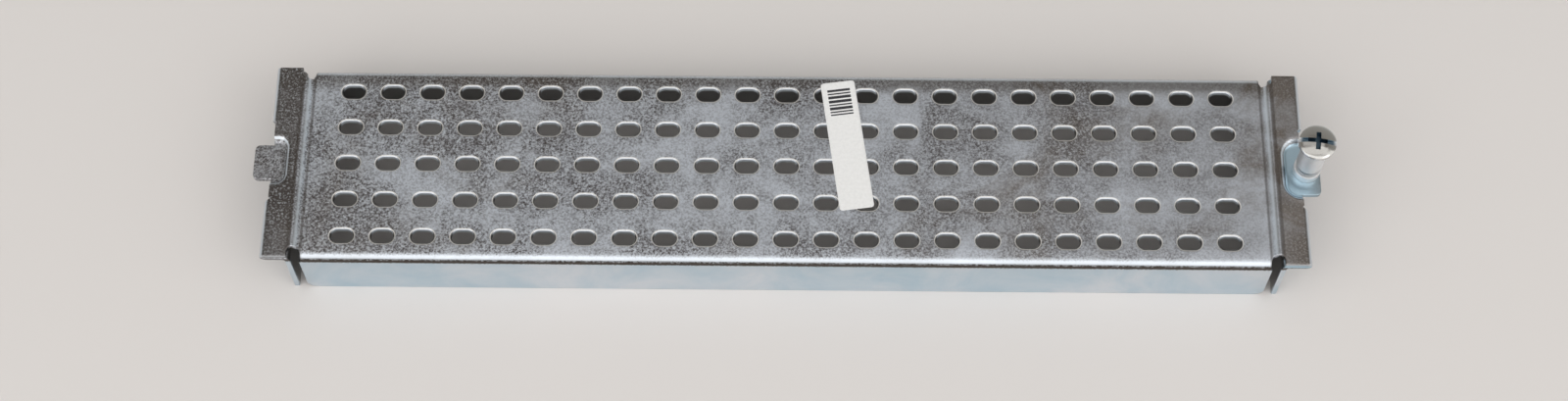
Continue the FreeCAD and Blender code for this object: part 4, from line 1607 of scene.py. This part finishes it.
class SLOTCOVER_OT_studio(bpy.types.Operator):
    """Set the floor, the lamps, the surroundings and the camera"""

    bl_idname = "slotcover.studio"
    bl_label = "Studio"

    def lamp(self, scene, name, place, size, power):
        """Rectangular lamp that looks at the object."""
        data = bpy.data.lights.new(name, "AREA")
        data.shape = "RECTANGLE"
        data.size, data.size_y = size
        data.energy = power
        lamp = bpy.data.objects.new(name, data)
        lamp.location = place
        lamp.rotation_euler = (LAMP_TARGET - Vector(place)).to_track_quat("-Z", "Y").to_euler()
        scene.collection.objects.link(lamp)

    def surroundings(self, scene):
        """Pale walls at the back and sides, a dim ceiling and a dim room in front."""
        world = bpy.data.worlds.new("surroundings")
        world.use_nodes = True
        tree = world.node_tree
        direction = tree.nodes.new("ShaderNodeTexCoord")
        parts = tree.nodes.new("ShaderNodeSeparateXYZ")
        ramp = tree.nodes.new("ShaderNodeValToRGB")
        front = tree.nodes.new("ShaderNodeMapRange")
        mix = tree.nodes.new("ShaderNodeMix")
        mix.data_type = "RGBA"
        tree.links.new(direction.outputs["Generated"], parts.inputs["Vector"])
        tree.links.new(parts.outputs["Z"], ramp.inputs["Fac"])
        tree.links.new(parts.outputs["Y"], front.inputs["Value"])
        front.inputs["From Min"].default_value = ROOM_FROM
        front.inputs["From Max"].default_value = ROOM_FULL
        tree.links.new(front.outputs["Result"], mix.inputs[0])
        tree.links.new(ramp.outputs["Color"], mix.inputs[6])
        mix.inputs[7].default_value = rgba(ROOM_COLOUR)
        tree.links.new(mix.outputs[2], tree.nodes["Background"].inputs["Color"])
        stops = ramp.color_ramp.elements
        for stop, (position, colour) in zip(stops, (WALL_STOPS[0], WALL_STOPS[-1])):
            stop.position, stop.color = position, rgba(colour)
        for position, colour in WALL_STOPS[1:-1]:
            stops.new(position).color = rgba(colour)
        scene.world = world

    def floor(self, scene):
        """Wide plain floor under the object."""
        mesh = bmesh.new()
        bmesh.ops.create_grid(mesh, x_segments=8, y_segments=8, size=FLOOR_HALF)
        data = bpy.data.meshes.new("studio_floor")
        mesh.to_mesh(data)
        mesh.free()
        floor = bpy.data.objects.new("studio_floor", data)
        data.materials.append(floor_finish(scene.cover_finish))
        scene.collection.objects.link(floor)

    def camera(self, scene):
        """Camera that looks down on the face from the front."""
        settings = scene.cover_studio
        data = bpy.data.cameras.new("photo_camera")
        data.sensor_width = SENSOR_WIDTH
        data.lens = settings.camera_lens
        camera = bpy.data.objects.new("photo_camera", data)
        camera.location = settings.camera_place
        camera.rotation_euler = settings.camera_turn
        scene.collection.objects.link(camera)
        scene.camera = camera

    def execute(self, context):
        scene = context.scene
        scene.view_settings.view_transform = "Standard"
        self.floor(scene)
        self.surroundings(scene)
        for name, place, size, power in LAMPS:
            self.lamp(scene, name, place, size, getattr(scene.cover_studio, power))
        self.camera(scene)
        return {"FINISHED"}


OPERATORS = (
    SLOTCOVER_OT_sheet,
    SLOTCOVER_OT_screw,
    SLOTCOVER_OT_ferrule,
    SLOTCOVER_OT_ring,
    SLOTCOVER_OT_label,
    SLOTCOVER_OT_studio,
)


class SLOTCOVER_PT_pieces(bpy.types.Panel):
    """The cover's pieces and their settings"""

    bl_idname = "SLOTCOVER_PT_pieces"
    bl_label = "Slot Cover"
    bl_space_type = "VIEW_3D"
    bl_region_type = "UI"
    bl_category = "Slot Cover"

    def draw(self, context):
        for operator in OPERATORS:
            self.layout.operator(operator.bl_idname)
        for name in SETTINGS:
            settings = getattr(context.scene, name)
            box = self.layout.box()
            for key in settings.__annotations__:
                box.prop(settings, key)


SETTINGS = {
    "cover_sheet": SheetSettings,
    "cover_ears": EarSettings,
    "cover_screw": ScrewSettings,
    "cover_label": LabelSettings,
    "cover_finish": FinishSettings,
    "cover_studio": StudioSettings,
}


def register():
    for cls in (*SETTINGS.values(), *OPERATORS, SLOTCOVER_PT_pieces):
        bpy.utils.register_class(cls)
    for name, cls in SETTINGS.items():
        setattr(bpy.types.Scene, name, PointerProperty(type=cls))


def unregister():
    for name in SETTINGS:
        delattr(bpy.types.Scene, name)
    for cls in reversed((*SETTINGS.values(), *OPERATORS, SLOTCOVER_PT_pieces)):
        bpy.utils.unregister_class(cls)


def main():
    """Builds every piece and the studio."""
    register()
    bpy.ops.slotcover.sheet()
    bpy.ops.slotcover.screw()
    bpy.ops.slotcover.ferrule()
    bpy.ops.slotcover.ring()
    bpy.ops.slotcover.label()
    bpy.ops.slotcover.studio()


if __name__ == "__main__":
    main()
